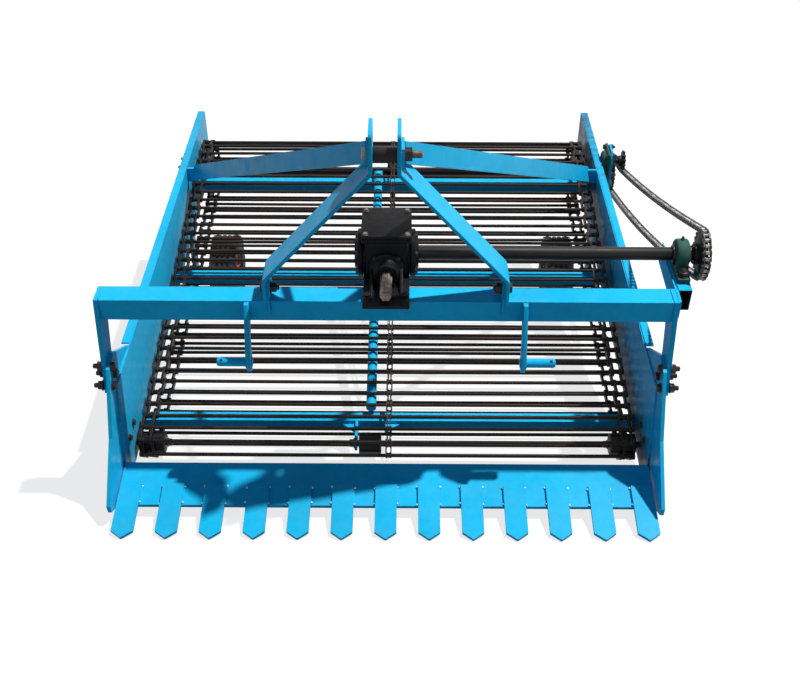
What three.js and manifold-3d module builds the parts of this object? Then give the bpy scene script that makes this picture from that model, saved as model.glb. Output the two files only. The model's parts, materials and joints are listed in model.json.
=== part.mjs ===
// Two-row potato digger for a tractor's three-point hitch.
// Millimetres, +Z up, the share and the hitch toward -Y, the discharge end toward +Y.
// Everything is drawn in the machine's own axes: x = 0 on the centre plane,
// y = 0 on the front face and z = 0 on the top face of the square cross beam.
// The whole machine is then tipped to the way it parks, on finger tips and wheels.
import * as THREE from 'three';
import * as BufferGeometryUtils from 'three/addons/utils/BufferGeometryUtils.js';
import Module from 'manifold-3d';

const wasm = await Module();
wasm.setup();

// ---------------------------------------------------------------- driving sizes
const GAP = 0.3; // left between parts that touch

const insideWidth = 1642; // between the two side sheets
const sideSheet = 5;
const cheekThick = 11.4;
const postThick = 14;
const beamSize = 70;

const sheetIn = insideWidth / 2;
const sheetOut = sheetIn + sideSheet;
const cheekOut = sheetOut + GAP + cheekThick;
const postIn = cheekOut + GAP;
const postOut = postIn + postThick;

const flangeTop = -288; // top of the side sheets
const flangeWidth = 24;
const sheetFront = 160; // where the flange begins
const sheetRear = 1768;

const webFront = { y: 33, z: -605, r: 46 }; // centre line of the rods round the idlers
const webRear = { y: 1545, z: -455, r: 120 }; // and round the driven sprockets
const rodCount = 71;
const rodRadius = 6;
const rodHalfLength = sheetIn - 13;
const sideChain = rodHalfLength - 25;
const webChains = [-sideChain, 4, sideChain];

const fingerCount = 13;
const fingerWidth = 66;
const fingerThick = 10;
const shareThick = 10;
const shareSlope = THREE.MathUtils.degToRad(9.5);
const shareRearTop = { y: -115, z: -549 };
const shareLength = 157;

const crossShaft = { y: 180, z: 50 };
const crossShaftRadius = 20;
const driveChainX = postOut + 89;
const chainPitch = 19.05;
const frontTeeth = 24;
const rearTeeth = 24;
const tensioner = { y: 1358, z: -295, teeth: 12 }; // presses on the upper strand

const wheelRadius = 150;
const wheelTop = -615; // top of the tyres, just under the web
const wheel = { y: 1242, z: wheelTop - wheelRadius, x: sheetIn - 121, r: wheelRadius, width: 116 };

const mastOut = 353; // outer face of the mast feet
const mastThick = 10.5;
const mastFront = -24;
const mastWidth = 108;
const earIn = 33;
const lugThick = 6;

const hitchOut = 412.5; // category II pin shoulders
const pinRadius = 14;

// ---------------------------------------------------------------- paint and metal
const steel = (color, roughness, metalness) =>
  new THREE.MeshStandardMaterial({ color, roughness, metalness });
const BLUE = steel('#1f9fd2', 0.45, 0.1);
const BLACK = steel('#1b1c1f', 0.55, 0.3);
const BARE = steel('#6d6259', 0.5, 0.8);
const GREEN = steel('#3f6a5c', 0.5, 0.2);
const RUBBER = steel('#202123', 0.9, 0.0);
const RED = steel('#b5271e', 0.5, 0.1);

// ---------------------------------------------------------------- solid helpers
const AXES_X = new THREE.Matrix4().makeBasis(
  new THREE.Vector3(0, 1, 0), new THREE.Vector3(0, 0, 1), new THREE.Vector3(1, 0, 0));
const AXES_Y = new THREE.Matrix4().makeBasis(
  new THREE.Vector3(0, 0, 1), new THREE.Vector3(1, 0, 0), new THREE.Vector3(0, 1, 0));

// A flat outline of [a, b] points drawn out from lo to hi along one axis.
// Axis x takes [y, z] points, axis y takes [z, x] points, axis z takes [x, y] points.
function prism(axis, points, lo, hi, holes = []) {
  const shape = new THREE.Shape(points.map(([a, b]) => new THREE.Vector2(a, b)));
  for (const hole of holes) {
    const path = new THREE.Path();
    path.absarc(hole[0], hole[1], hole[2], 0, Math.PI * 2, true);
    shape.holes.push(path);
  }
  const solid = new THREE.ExtrudeGeometry(shape,
    { depth: hi - lo, bevelEnabled: false, curveSegments: 8 });
  solid.translate(0, 0, lo);
  if (axis === 'x') solid.applyMatrix4(AXES_X);
  if (axis === 'y') solid.applyMatrix4(AXES_Y);
  return solid;
}

function block(x0, x1, y0, y1, z0, z1) {
  const solid = new THREE.BoxGeometry(x1 - x0, y1 - y0, z1 - z0);
  solid.translate((x0 + x1) / 2, (y0 + y1) / 2, (z0 + z1) / 2);
  return solid;
}

// A cylinder along one axis from lo to hi; a and b are its centre on the other two
// axes, in the same order that prism takes them.
function rod(axis, a, b, radius, lo, hi, sides = 20, turn = 0) {
  const solid = new THREE.CylinderGeometry(radius, radius, hi - lo, sides);
  solid.rotateY(turn);
  solid.rotateX(Math.PI / 2);
  solid.translate(a, b, (lo + hi) / 2);
  if (axis === 'x') solid.applyMatrix4(AXES_X);
  if (axis === 'y') solid.applyMatrix4(AXES_Y);
  return solid;
}

// A profile of [radius, along] points turned about the x axis.
function turnedX(profile, sides = 32) {
  const solid = new THREE.LatheGeometry(profile.map(([r, x]) => new THREE.Vector2(r, x)), sides);
  solid.rotateZ(-Math.PI / 2);
  return solid;
}

function toManifold(solid) {
  const bare = solid.clone();
  bare.deleteAttribute('normal');
  bare.deleteAttribute('uv');
  const merged = BufferGeometryUtils.mergeVertices(bare, 1e-4);
  const mesh = new wasm.Mesh({
    numProp: 3,
    vertProperties: new Float32Array(merged.attributes.position.array),
    triVerts: new Uint32Array(merged.index.array),
  });
  return new wasm.Manifold(mesh);
}

function fromManifold(body) {
  const mesh = body.getMesh();
  const solid = new THREE.BufferGeometry();
  solid.setAttribute('position', new THREE.BufferAttribute(mesh.vertProperties, 3));
  solid.setIndex(new THREE.BufferAttribute(mesh.triVerts, 1));
  solid.computeVertexNormals();
  return solid;
}

function join(...solids) {
  let body = toManifold(solids[0]);
  for (const solid of solids.slice(1)) body = body.add(toManifold(solid));
  return fromManifold(body);
}

function cut(solid, ...tools) {
  let body = toManifold(solid);
  for (const tool of tools) body = body.subtract(toManifold(tool));
  return fromManifold(body);
}

// The same outline on the other side of the machine.
function mirrored(solid) {
  const other = solid.clone();
  other.scale(-1, 1, 1);
  const flipped = BufferGeometryUtils.mergeVertices(stripped(other), 1e-4);
  const index = flipped.index.array;
  for (let i = 0; i < index.length; i += 3) {
    const keep = index[i];
    index[i] = index[i + 1];
    index[i + 1] = keep;
  }
  flipped.computeVertexNormals();
  return flipped;
}

function stripped(solid) {
  const bare = solid.clone();
  bare.deleteAttribute('normal');
  bare.deleteAttribute('uv');
  return bare;
}

const machine = new THREE.Group();
machine.name = 'machine';

function add(name, solid, material) {
  const mesh = new THREE.Mesh(solid, material);
  mesh.name = name;
  machine.add(mesh);
  return mesh;
}

// A part drawn on the right side, added there and mirrored on the left.
function addPair(name, solid, material) {
  add(`${name}_right`, solid, material);
  add(`${name}_left`, mirrored(solid), material);
}

// ---------------------------------------------------------------- frame
const half = beamSize / 2;
const inner = half - 5;
add('cross_beam', cut(
  block(-postIn + GAP, postIn - GAP, 0, beamSize, -beamSize, 0),
  block(-postIn - 5, postIn + 5, half - inner, half + inner, -half - inner, -half + inner)), BLUE);

// End posts cap the beam and lean forward to the cheeks, where three bolts hold them.
const postFoot = [-71, -297];
const postOutline = [
  [0, 0], [beamSize, 0], [beamSize, -62], [postFoot[0] + 66, postFoot[1] - 14], postFoot];
addPair('end_post', prism('x', postOutline, postIn, postOut), BLUE);

// Side sheets: flange bent outward along the top, thick cheek outside at the front.
const lowerEdge = (y) => -640 + (y + 60) * 0.058;
const sheetOutline = [
  [sheetRear, flangeTop], [-35, flangeTop - 4], [-112, -548], [-150, lowerEdge(-60) - 2],
  [-60, lowerEdge(-60)], [sheetRear, lowerEdge(sheetRear)]];
const flange = block(sheetOut - 1, sheetOut + flangeWidth, sheetFront, sheetRear, flangeTop - 5, flangeTop);
const shaftHole = rod('x', webRear.y, webRear.z, 19, sheetIn - 5, sheetOut + 5, 20);
addPair('side_sheet',
  cut(join(prism('x', sheetOutline, sheetIn, sheetOut), flange), shaftHole), BLUE);

const cheekOutline = [
  [0, -196], [156, flangeTop - 6], [140, -430], [50, lowerEdge(50)], [-150, -630],
  [-270, -590], [-308, -568], [-311, -540], [-165, -398], [-62, -212]];
addPair('cheek', prism('x', cheekOutline, sheetOut + GAP, cheekOut), BLUE);

// ---------------------------------------------------------------- share and fingers
const along = (d) => [
  shareRearTop.y - d * Math.cos(shareSlope), shareRearTop.z - d * Math.sin(shareSlope)];
const share = () => {
  const [y0, z0] = along(0);
  const [y1, z1] = along(shareLength);
  return prism('x', [[y0, z0], [y0, z0 - shareThick], [y1, z1 - shareThick], [y1, z1]],
    -sheetIn + GAP, sheetIn - GAP);
};
// One finger, flat, pointing to -Y, then laid on the share's slope.
const fingerStart = 84;
const fingerTip = 277;
const fingerPoint = 23;
function finger(x) {
  const w = fingerWidth / 2;
  const solid = prism('z', [
    [-w, -fingerStart], [-w, -(fingerTip - fingerPoint)], [-2, -fingerTip], [2, -fingerTip],
    [w, -(fingerTip - fingerPoint)], [w, -fingerStart]], -1, fingerThick);
  solid.rotateX(shareSlope);
  solid.translate(x, shareRearTop.y, shareRearTop.z);
  return solid;
}
const fingerSpread = insideWidth - fingerWidth - 2;
const fingers = Array.from({ length: fingerCount }, (_, i) =>
  finger(fingerSpread * (i / (fingerCount - 1) - 0.5)));
add('digging_share', join(share(), ...fingers), BLUE);

// ---------------------------------------------------------------- mast
const bendZ = 82;
const elbowZ = 430;
const earTop = 546;
const earCorner = 12; // cut off the ears' top corners
const mastOutline = (() => {
  // centre line of the bar in the x-z plane, then the bar's two faces
  const foot = mastOut - mastThick / 2;
  const ear = earIn + mastThick / 2;
  const line = [[foot, 8], [foot, bendZ], [ear, elbowZ], [ear, earTop]];
  return ribbon(line, mastThick);
})();
// The outline of a bent strip of even thickness along a line of [a, b] points.
function ribbon(line, thick) {
  const left = [];
  const right = [];
  line.forEach((p, i) => {
    const before = line[Math.max(i - 1, 0)];
    const after = line[Math.min(i + 1, line.length - 1)];
    const d0 = new THREE.Vector2(p[0] - before[0], p[1] - before[1]).normalize();
    const d1 = new THREE.Vector2(after[0] - p[0], after[1] - p[1]).normalize();
    const d = d0.clone().add(d1).normalize();
    const ref = i === 0 ? d1 : d0;
    const k = thick / 2 / Math.max(0.2, d.dot(ref));
    left.push([p[0] - d.y * k, p[1] + d.x * k]);
    right.push([p[0] + d.y * k, p[1] - d.x * k]);
  });
  return left.concat(right.reverse());
}
const swap = (points) => points.map(([a, b]) => [b, a]);
const mastRear = mastFront + mastWidth;
const earCorners = [[mastFront, 1], [mastRear, -1]].map(([y, inward]) => {
  const points = [[y - inward * 5, earTop + 5], [y - inward * 5, earTop - earCorner - 5],
    [y + inward * (earCorner + 5), earTop + 5]];
  return prism('x', inward > 0 ? points : points.reverse(), 0, 80);
});
// The ears' inner faces are dressed flat above the spacer, where the top link's ball bears.
const dressed = block(0, earIn + 0.5, mastFront - 5, mastRear + 5, earTop - 60, earTop + 5);
addPair('mast_bar', cut(prism('y', swap(mastOutline), mastFront, mastRear),
  ...earCorners, dressed), BLUE);

// A lug welded to the beam inside each foot takes the foot's bolt.
const lugOut = mastOut - mastThick - GAP;
const lugOutline = [[-14, -42], [-14, 22], [6, 62], [54, 62], [66, 40], [66, GAP], [-GAP, GAP], [-GAP, -42]];
addPair('mast_lug', prism('x', lugOutline, lugOut - lugThick, lugOut), BLUE);

const spacer = { y: mastFront + mastWidth / 2, z: 464 };
add('mast_spacer', cut(
  rod('x', spacer.y, spacer.z, 20, -earIn + GAP, earIn - GAP, 24),
  rod('x', spacer.y, spacer.z, 12.3, -earIn - 5, earIn + 5, 24)), BLACK);

// Rear braces: a tab on the mast bolt, a long flat bar on edge, and at the side sheet a
// cross plate that the bar ends on.
const braceRear = { y: 1275, z: -318, inset: 30, height: 58 };
const braceHeight = 60;
function brace() {
  const tabIn = earIn + mastThick + GAP;
  const tabOut = sheetIn - GAP;
  const from = new THREE.Vector3(tabIn + 6, spacer.y + 20, spacer.z - 6);
  const to = new THREE.Vector3(tabOut - braceRear.inset, braceRear.y + 4, braceRear.z + 6);
  const run = to.clone().sub(from);
  const bar = new THREE.BoxGeometry(10, run.length(), braceHeight);
  const yAxis = run.clone().normalize();
  // The bar is folded square across its width where it leaves the mast.
  const zAxis = new THREE.Vector3(0, -yAxis.z, yAxis.y).normalize();
  const xAxis = yAxis.clone().cross(zAxis);
  bar.applyMatrix4(new THREE.Matrix4().makeBasis(xAxis, yAxis, zAxis));
  const mid = from.clone().add(to).multiplyScalar(0.5);
  bar.translate(mid.x, mid.y, mid.z);
  const mastTab = prism('x', [
    [spacer.y - 26, spacer.z - 26], [spacer.y + 30, spacer.z - 28],
    [spacer.y + 30, spacer.z + 34], [spacer.y - 26, spacer.z + 28]], tabIn, tabIn + 8);
  const low = braceRear.z - braceRear.height / 2;
  const crossPlate = block(tabOut - braceRear.inset - 12, tabOut, braceRear.y - 6, braceRear.y + 5,
    low, low + braceRear.height);
  const trim = [block(0, tabIn, -200, 200, 200, 600),
    block(0, sheetIn, braceRear.y + 5, braceRear.y + 200, -500, -100),
    block(0, sheetIn, braceRear.y - 200, braceRear.y + 200, low - 100, low)];
  return cut(join(bar, mastTab, crossPlate), ...trim);
}
addPair('rear_brace', brace(), BLUE);

// ---------------------------------------------------------------- lower hitch arms and pins
const hitchPin = { y: -62, z: -178 };
const armOutline = [
  [-GAP, -2], [-GAP, -beamSize + 2], [-30, -120], [hitchPin.y + 22, hitchPin.z - 22],
  [hitchPin.y - 8, hitchPin.z - 28], [hitchPin.y - 30, hitchPin.z + 4], [-14, -2]];
const pinTip = hitchOut + 89;
addPair('hitch_arm', join(
  prism('x', armOutline, hitchOut - 14, hitchOut),
  rod('x', hitchPin.y, hitchPin.z, pinRadius, hitchOut - 17, pinTip, 24)), BLUE);

// ---------------------------------------------------------------- gearbox and drive shafts
const boxFront = 105;
const boxRear = 262;
const boxHalf = 68;
const boxTop = 155;
const ptoNeck = 72;
const gearbox = cut(join(
  block(-boxHalf, boxHalf, -38, boxRear, GAP, 14),
  prism('y', [[14 - 2, -boxHalf + 4], [boxTop - 8, -boxHalf + 4], [boxTop - 8, boxHalf - 4], [12, boxHalf - 4]],
    boxFront, boxRear - 4),
  block(-boxHalf - 6, boxHalf + 6, boxFront - 2, boxRear - 2, boxTop - 10, boxTop),
  rod('x', crossShaft.y, crossShaft.z + 3, 72, -boxHalf - 20, boxHalf + 24, 32),
  rod('y', crossShaft.z, 0, 70 - 24, boxFront - 14, boxFront + 4, 32),
  rod('y', crossShaft.z, 0, 36, ptoNeck, boxFront + 4, 24)),
  rod('x', crossShaft.y, crossShaft.z, crossShaftRadius + GAP, boxHalf - 10, boxHalf + 30, 24),
  rod('y', crossShaft.z, 0, 17.5 + GAP, ptoNeck - 5, boxFront - 10, 24),
  block(-200, 200, -100, 300, -100, GAP));
add('gearbox', gearbox, BLACK);

const ptoEnd = -46;
add('pto_shaft', rod('y', crossShaft.z, 0, 17.4, ptoEnd, boxFront - 12, 24), BARE);

// The cross shaft turns with its sprocket on the outer end.
const pitchRadius = (teeth) => chainPitch / 2 / Math.sin(Math.PI / teeth);
function sprocket(teeth, x0, x1, firstGap = 0) {
  const outline = [];
  for (let i = 0; i < teeth; i += 1) {
    for (const [turn, r] of [[0, -5.5], [0.22, -4.5], [0.42, 5.5], [0.58, 5.5], [0.78, -4.5]]) {
      const a = firstGap + (i + turn) * 2 * Math.PI / teeth;
      outline.push([(pitchRadius(teeth) + r) * Math.cos(a), (pitchRadius(teeth) + r) * Math.sin(a)]);
    }
  }
  return prism('x', outline, x0, x1);
}
const at = (solid, y, z) => {
  solid.translate(0, y, z);
  return solid;
};
const shaftStart = boxHalf - 8;
const driveShaftEnd = driveChainX + 14;
add('cross_shaft', at(join(
  rod('x', 0, 0, crossShaftRadius, shaftStart, driveShaftEnd, 24),
  rod('x', 0, 0, 42, driveChainX - 24, driveChainX + 6, 24),
  sprocket(frontTeeth, driveChainX - 5, driveChainX + 5)), crossShaft.y, crossShaft.z), BLACK);

// ---------------------------------------------------------------- outer bearing of the cross shaft
const bracketOut = postOut + GAP + 9;
const stubRear = crossShaft.y + 104;
add('bearing_bracket', prism('x', [
  [12, -64], [12, -6], [60, -2], [stubRear + 8, -2], [stubRear + 8, -56], [150, -64]],
  postOut + GAP, bracketOut), BLUE);
const stubIn = bracketOut + GAP;
const stubOut = stubIn + 40;
add('bearing_stub', cut(
  block(stubIn, stubOut, 62, stubRear, -72, 0),
  block(stubIn + 5, stubOut - 5, 50, stubRear + 8, -67, -5)), BLUE);
const blockX = (stubIn + stubOut) / 2;
add('pillow_block', cut(join(
  block(blockX - 19, blockX + 19, crossShaft.y - 86, crossShaft.y + 86, GAP, 16),
  prism('x', [[crossShaft.y - 46, 10], [crossShaft.y + 46, 10], [crossShaft.y + 44, 52], [crossShaft.y - 44, 52]],
    blockX - 19, blockX + 19),
  rod('x', crossShaft.y, crossShaft.z, 46, blockX - 20, blockX + 20, 28)),
  rod('x', crossShaft.y, crossShaft.z, crossShaftRadius + GAP, blockX - 40, blockX + 40, 24)), GREEN);

// ---------------------------------------------------------------- web drive shaft and its bearings
const bearingPlateIn = sheetOut + 56;
const bearingPlateOut = bearingPlateIn + 9;
add('web_shaft', at(join(
  rod('x', 0, 0, 18, -bearingPlateOut - 6, driveChainX + 8, 20),
  sprocket(rearTeeth, driveChainX - 5, driveChainX + 5),
  rod('x', 0, 0, 32, driveChainX - 22, driveChainX, 20),
  ...webChains.map((x) => rod('x', 0, 0, webRear.r - 10, x - 6, x + 6, 28))),
webRear.y, webRear.z), BLACK);
// Outboard bearings: a blue bracket off the side sheet with a flanged bearing inside it.
function bearingBracket({ y, z }, up, down, halfWidth) {
  return cut(join(
    prism('x', [[y - halfWidth, z - down], [y + halfWidth, z - down], [y + halfWidth, z + up - 22],
      [y + halfWidth - 18, z + up], [y - halfWidth + 18, z + up], [y - halfWidth, z + up - 22]],
    bearingPlateIn, bearingPlateOut),
    block(sheetOut + GAP, bearingPlateIn + 4, y - halfWidth, y + halfWidth, z - down, z - down + 10)),
  rod('x', y, z, 19, bearingPlateIn - 5, bearingPlateOut + 5, 20));
}
function flangeBearing({ y, z }, halfSize, bore) {
  const out = bearingPlateIn - GAP;
  return cut(join(
    block(out - 13, out, y - halfSize, y + halfSize, z - halfSize, z + halfSize),
    rod('x', y, z, halfSize - 12, out - 29, out - 5, 24)),
  rod('x', y, z, bore + GAP, out - 40, out + 5, 20));
}
addPair('web_bearing_bracket', bearingBracket(webRear, 60, 95, 52), BLUE);
addPair('web_bearing', flangeBearing(webRear, 48, 18), GREEN);

// ---------------------------------------------------------------- drive chain and its tensioner
// The circles the chain goes round, in order; turn is +1 inside the loop and -1 outside it.
const chainWheels = [
  { ...crossShaft, r: pitchRadius(frontTeeth), turn: 1 },
  { ...tensioner, r: pitchRadius(tensioner.teeth), turn: -1 },
  { ...webRear, r: pitchRadius(rearTeeth), turn: 1 }];

// Straight spans between neighbouring circles, each grown by its turn times grow.
function chainSpans(grow) {
  return chainWheels.map((a, i) => {
    const b = chainWheels[(i + 1) % chainWheels.length];
    const ra = (a.r + a.turn * grow) * a.turn;
    const rb = (b.r + b.turn * grow) * b.turn;
    const way = Math.atan2(b.z - a.z, b.y - a.y);
    const lean = Math.asin((rb - ra) / Math.hypot(b.y - a.y, b.z - a.z));
    const out = way + Math.PI / 2 + lean;
    return {
      out,
      from: [a.y + ra * Math.cos(out), a.z + ra * Math.sin(out)],
      to: [b.y + rb * Math.cos(out), b.z + rb * Math.sin(out)],
    };
  });
}
// The closed outline of the chain's centre line moved outward by grow.
function chainOutline(grow) {
  const spans = chainSpans(grow);
  const points = [];
  spans.forEach((span, i) => {
    const circle = chainWheels[(i + 1) % chainWheels.length];
    const next = spans[(i + 1) % spans.length];
    const r = (circle.r + circle.turn * grow) * circle.turn;
    let sweep = next.out - span.out;
    while (sweep * circle.turn > 1e-9) sweep -= circle.turn * 2 * Math.PI;
    const steps = Math.max(2, Math.round(Math.abs(sweep) / 0.26));
    for (let k = 0; k <= steps; k += 1) {
      const t = span.out + sweep * k / steps;
      points.push([circle.y + r * Math.cos(t), circle.z + r * Math.sin(t)]);
    }
  });
  return points.reverse();
}
// Two side bands, with cross bars on the straight spans and round the two fixed sprockets.
function driveChain() {
  const halfHeight = 8;
  const bands = [[-14, -10.5], [10.5, 14]].map(([x0, x1]) => cut(
    prism('x', chainOutline(halfHeight), driveChainX + x0, driveChainX + x1),
    prism('x', chainOutline(-halfHeight), driveChainX + x0 - 5, driveChainX + x1 + 5)));
  const bar = (y, z) => rod('x', y, z, 5, driveChainX - 12, driveChainX + 12, 6);
  const bars = [];
  for (const { from, to } of chainSpans(0)) {
    const count = Math.max(1, Math.round(Math.hypot(to[0] - from[0], to[1] - from[1]) / 120));
    for (let k = 1; k < count; k += 1) {
      bars.push(bar(from[0] + (to[0] - from[0]) * k / count, from[1] + (to[1] - from[1]) * k / count));
    }
  }
  const gapAngle = 2 * Math.PI / rearTeeth;
  for (let k = -4; k <= 4; k += 1) {
    const r = pitchRadius(rearTeeth);
    bars.push(bar(webRear.y + r * Math.cos(k * gapAngle), webRear.z + r * Math.sin(k * gapAngle)));
  }
  const r = pitchRadius(tensioner.teeth);
  bars.push(bar(tensioner.y + r * Math.cos(pressAngle), tensioner.z + r * Math.sin(pressAngle)));
  return join(...bands, ...bars);
}
// Where the upper strand bears on the tensioner: half way between its two spans' normals.
const pressAngle = (chainSpans(0)[0].out + chainSpans(0)[1].out) / 2 + Math.PI;
add('drive_chain', driveChain(), BLACK);

add('tensioner_bracket', bearingBracket(tensioner, 58, 118, 50), BLUE);
add('tensioner_bearing', flangeBearing(tensioner, 54, 13), GREEN);
add('tensioner', at(join(
  rod('x', 0, 0, 13, bearingPlateIn - 30, driveChainX + 8, 20),
  rod('x', 0, 0, 22, driveChainX - 18, driveChainX, 20),
  sprocket(tensioner.teeth, driveChainX - 5, driveChainX + 5, pressAngle)), tensioner.y, tensioner.z), BLACK);

// ---------------------------------------------------------------- digging web
const chainHalfWidth = 15;
const chainHalfHeight = 8;
function webPath() {
  const dy = webRear.y - webFront.y;
  const dz = webRear.z - webFront.z;
  const span = Math.hypot(dy, dz);
  const base = Math.atan2(dz, dy);
  const lean = Math.asin((webRear.r - webFront.r) / span);
  const straight = span * Math.cos(lean);
  const up = base + Math.PI / 2 + lean;
  const down = base - Math.PI / 2 - lean;
  const rearTurn = webRear.r * (up - down);
  const frontTurn = webFront.r * (2 * Math.PI - (up - down));
  const total = 2 * straight + rearTurn + frontTurn;
  const point = (s) => {
    let d = ((s % total) + total) % total;
    const on = (c, t) => [c.y + c.r * Math.cos(t), c.z + c.r * Math.sin(t)];
    if (d < straight) {
      const [y0, z0] = on(webFront, up);
      const [y1, z1] = on(webRear, up);
      return [y0 + (y1 - y0) * d / straight, z0 + (z1 - z0) * d / straight];
    }
    d -= straight;
    if (d < rearTurn) return on(webRear, up - d / webRear.r);
    d -= rearTurn;
    if (d < straight) {
      const [y0, z0] = on(webRear, down);
      const [y1, z1] = on(webFront, down);
      return [y0 + (y1 - y0) * d / straight, z0 + (z1 - z0) * d / straight];
    }
    d -= straight;
    return on(webFront, down - d / webFront.r);
  };
  return { point, total, straight, rearTurn, frontTurn };
}
const path = webPath();
const rodPitch = path.total / rodCount;

// A length of the web from s0 to s1 along its path: three chains and their rods.
function webRun(s0, s1, steps) {
  const nearEnd = 5; // short first and last pieces keep the cut ends square to the run
  const middle = [path.point(s0)];
  for (let i = 0; i <= steps; i += 1) {
    middle.push(path.point(s0 + nearEnd + (s1 - s0 - 2 * nearEnd) * i / steps));
  }
  middle.push(path.point(s1));
  const strip = ribbon(middle, chainHalfHeight * 2);
  const bodies = webChains.map((x) => prism('x', strip, x - chainHalfWidth, x + chainHalfWidth));
  for (let k = 0; k < rodCount; k += 1) {
    const s = (k + 0.5) * rodPitch;
    if (s > s0 + 4 && s < s1 - 4) {
      const [y, z] = path.point(s);
      bodies.push(rod('x', y, z, rodRadius, -rodHalfLength, rodHalfLength, 6));
    }
  }
  return join(...bodies);
}
// The runs part half way between two rods, inside the straight spans.
const seam = 0.5;
const upperEnd = Math.floor(path.straight / rodPitch) * rodPitch;
const rearEnd = Math.ceil((path.straight + path.rearTurn) / rodPitch) * rodPitch;
const lowerEnd = Math.floor((2 * path.straight + path.rearTurn) / rodPitch) * rodPitch;
add('web_upper_run', webRun(0 + seam, upperEnd - seam, 1), BLACK);
add('web_rear_turn', webRun(upperEnd + seam, rearEnd - seam, 10), BLACK);
add('web_lower_run', webRun(rearEnd + seam, lowerEnd - seam, 1), BLACK);
add('web_front_turn', webRun(lowerEnd + seam, path.total - seam, 8), BLACK);

// ---------------------------------------------------------------- inside the web loop
const tubeSize = 40;
// The tubes lie under the web's upper run, the rear one lower to leave room for the rail.
const frontTube = { y: 143, z: webFront.z + webFront.r - 50 };
const rearTube = { y: 1400, z: webRear.z + webRear.r - 99 };
const tubeLine = (y) => frontTube.z
  + (rearTube.z - frontTube.z) * (y - frontTube.y) / (rearTube.y - frontTube.y);
const tubes = { front: frontTube.y, middle: 842, rear: rearTube.y };
for (const [place, y] of Object.entries(tubes)) {
  const z = tubeLine(y);
  add(`cross_tube_${place}`, block(-sheetIn + GAP, sheetIn - GAP,
    y - tubeSize / 2, y + tubeSize / 2, z - tubeSize / 2, z + tubeSize / 2), BLUE);
}
// Centre rail: a pipe over the cross tubes that carries the middle of the web.
const railRadius = 17;
const railX = -56;
function rail() {
  const y0 = frontTube.y + 18;
  const y1 = rearTube.y + 40;
  const slope = Math.atan2(rearTube.z - frontTube.z, rearTube.y - frontTube.y);
  const lift = tubeSize / 2 * (1 + Math.tan(slope)) + railRadius / Math.cos(slope) + GAP;
  const pipe = rod('y', 0, 0, railRadius, 0, (y1 - y0) / Math.cos(slope), 16);
  pipe.rotateX(slope);
  pipe.translate(railX, y0, tubeLine(y0) + lift);
  return pipe;
}
add('centre_rail', rail(), BLUE);

// Front idlers: a roller beside each sheet and one by the middle chain, which hangs on a
// plate off the front tube.
const idlerRadius = webFront.r - chainHalfHeight - 2.5;
const idler = (x0, x1, pinStart, pinEnd) => at(join(
  rod('x', 0, 0, idlerRadius, x0, x1, 24),
  rod('x', 0, 0, 10, pinStart, pinEnd, 12)), webFront.y, webFront.z);
const idlerIn = sheetIn - 93;
const idlerOut = sheetIn - 9;
add('idler_right', idler(idlerIn, idlerOut, idlerIn - 6, sheetIn - GAP), BLACK);
add('idler_left', idler(-idlerOut, -idlerIn, -(sheetIn - GAP), -(idlerIn - 6)), BLACK);
const idlerPlate = { in: -108, out: -98 };
add('idler_middle', join(
  idler(-93, -20, idlerPlate.in - 4, -16),
  block(idlerPlate.in, idlerPlate.out, webFront.y - 18, frontTube.y - tubeSize / 2 - GAP,
    webFront.z - 18, webFront.z + 18)), BLACK);

// ---------------------------------------------------------------- ground wheels
function tyre() {
  const w = wheel.width / 2;
  const r = wheel.r;
  return turnedX([[84, -w + 10], [r - 16, -w], [r - 4, -w + 12], [r, -w + 30], [r, w - 30],
    [r - 4, w - 12], [r - 16, w], [84, w - 10], [84, -w + 10]], 32);
}
function rim() {
  const w = wheel.width / 2;
  return turnedX([[14, -w + 6], [30, -w + 6], [30, -12], [70, -12], [78, -w + 12], [84 - GAP, -w + 12],
    [84 - GAP, w - 12], [78, w - 12], [70, 4], [30, 4], [30, w - 6], [14, w - 6], [14, -w + 6]], 32);
}
for (const [name, side] of [['left', -1], ['right', 1]]) {
  for (const [kind, solid, material] of [['tyre', tyre(), RUBBER], ['rim', rim(), RED]]) {
    const mesh = add(`${kind}_${name}`, solid, material);
    mesh.position.set(side * wheel.x, wheel.y, wheel.z);
  }
}
// Each leg hangs under the flange on the outside of its sheet and carries the axle inward.
const legIn = sheetOut + GAP;
addPair('wheel_leg', join(
  prism('x', [[wheel.y - 34, wheel.z - 34], [wheel.y + 34, wheel.z - 34], [wheel.y + 46, -330],
    [wheel.y - 46, -330]], legIn, legIn + 12),
  rod('x', wheel.y, wheel.z, 13.5, wheel.x - wheel.width / 2 - 12, legIn + 4, 16)), BLUE);

// ---------------------------------------------------------------- the way it parks
// Tipped about x until the finger tips and the wheels touch the ground together.
const [tipY, tipZ] = along(fingerTip);
const fingerUnder = tipZ - 1;
const reach = Math.hypot(wheel.y - tipY, wheel.z - fingerUnder);
const parkTilt = Math.asin(wheel.r / reach) - Math.atan2(wheel.z - fingerUnder, wheel.y - tipY);
machine.rotation.x = parkTilt;
// The origin is on the ground under the middle of the bounding box.
machine.updateMatrixWorld(true);
const bounds = new THREE.Box3().setFromObject(machine, true);
machine.position.set(-(bounds.min.x + bounds.max.x) / 2, -(bounds.min.y + bounds.max.y) / 2,
  -bounds.min.z);

export default machine;
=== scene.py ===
import json
import math
import random

import bmesh
import bpy
from mathutils import Matrix, Vector


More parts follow.
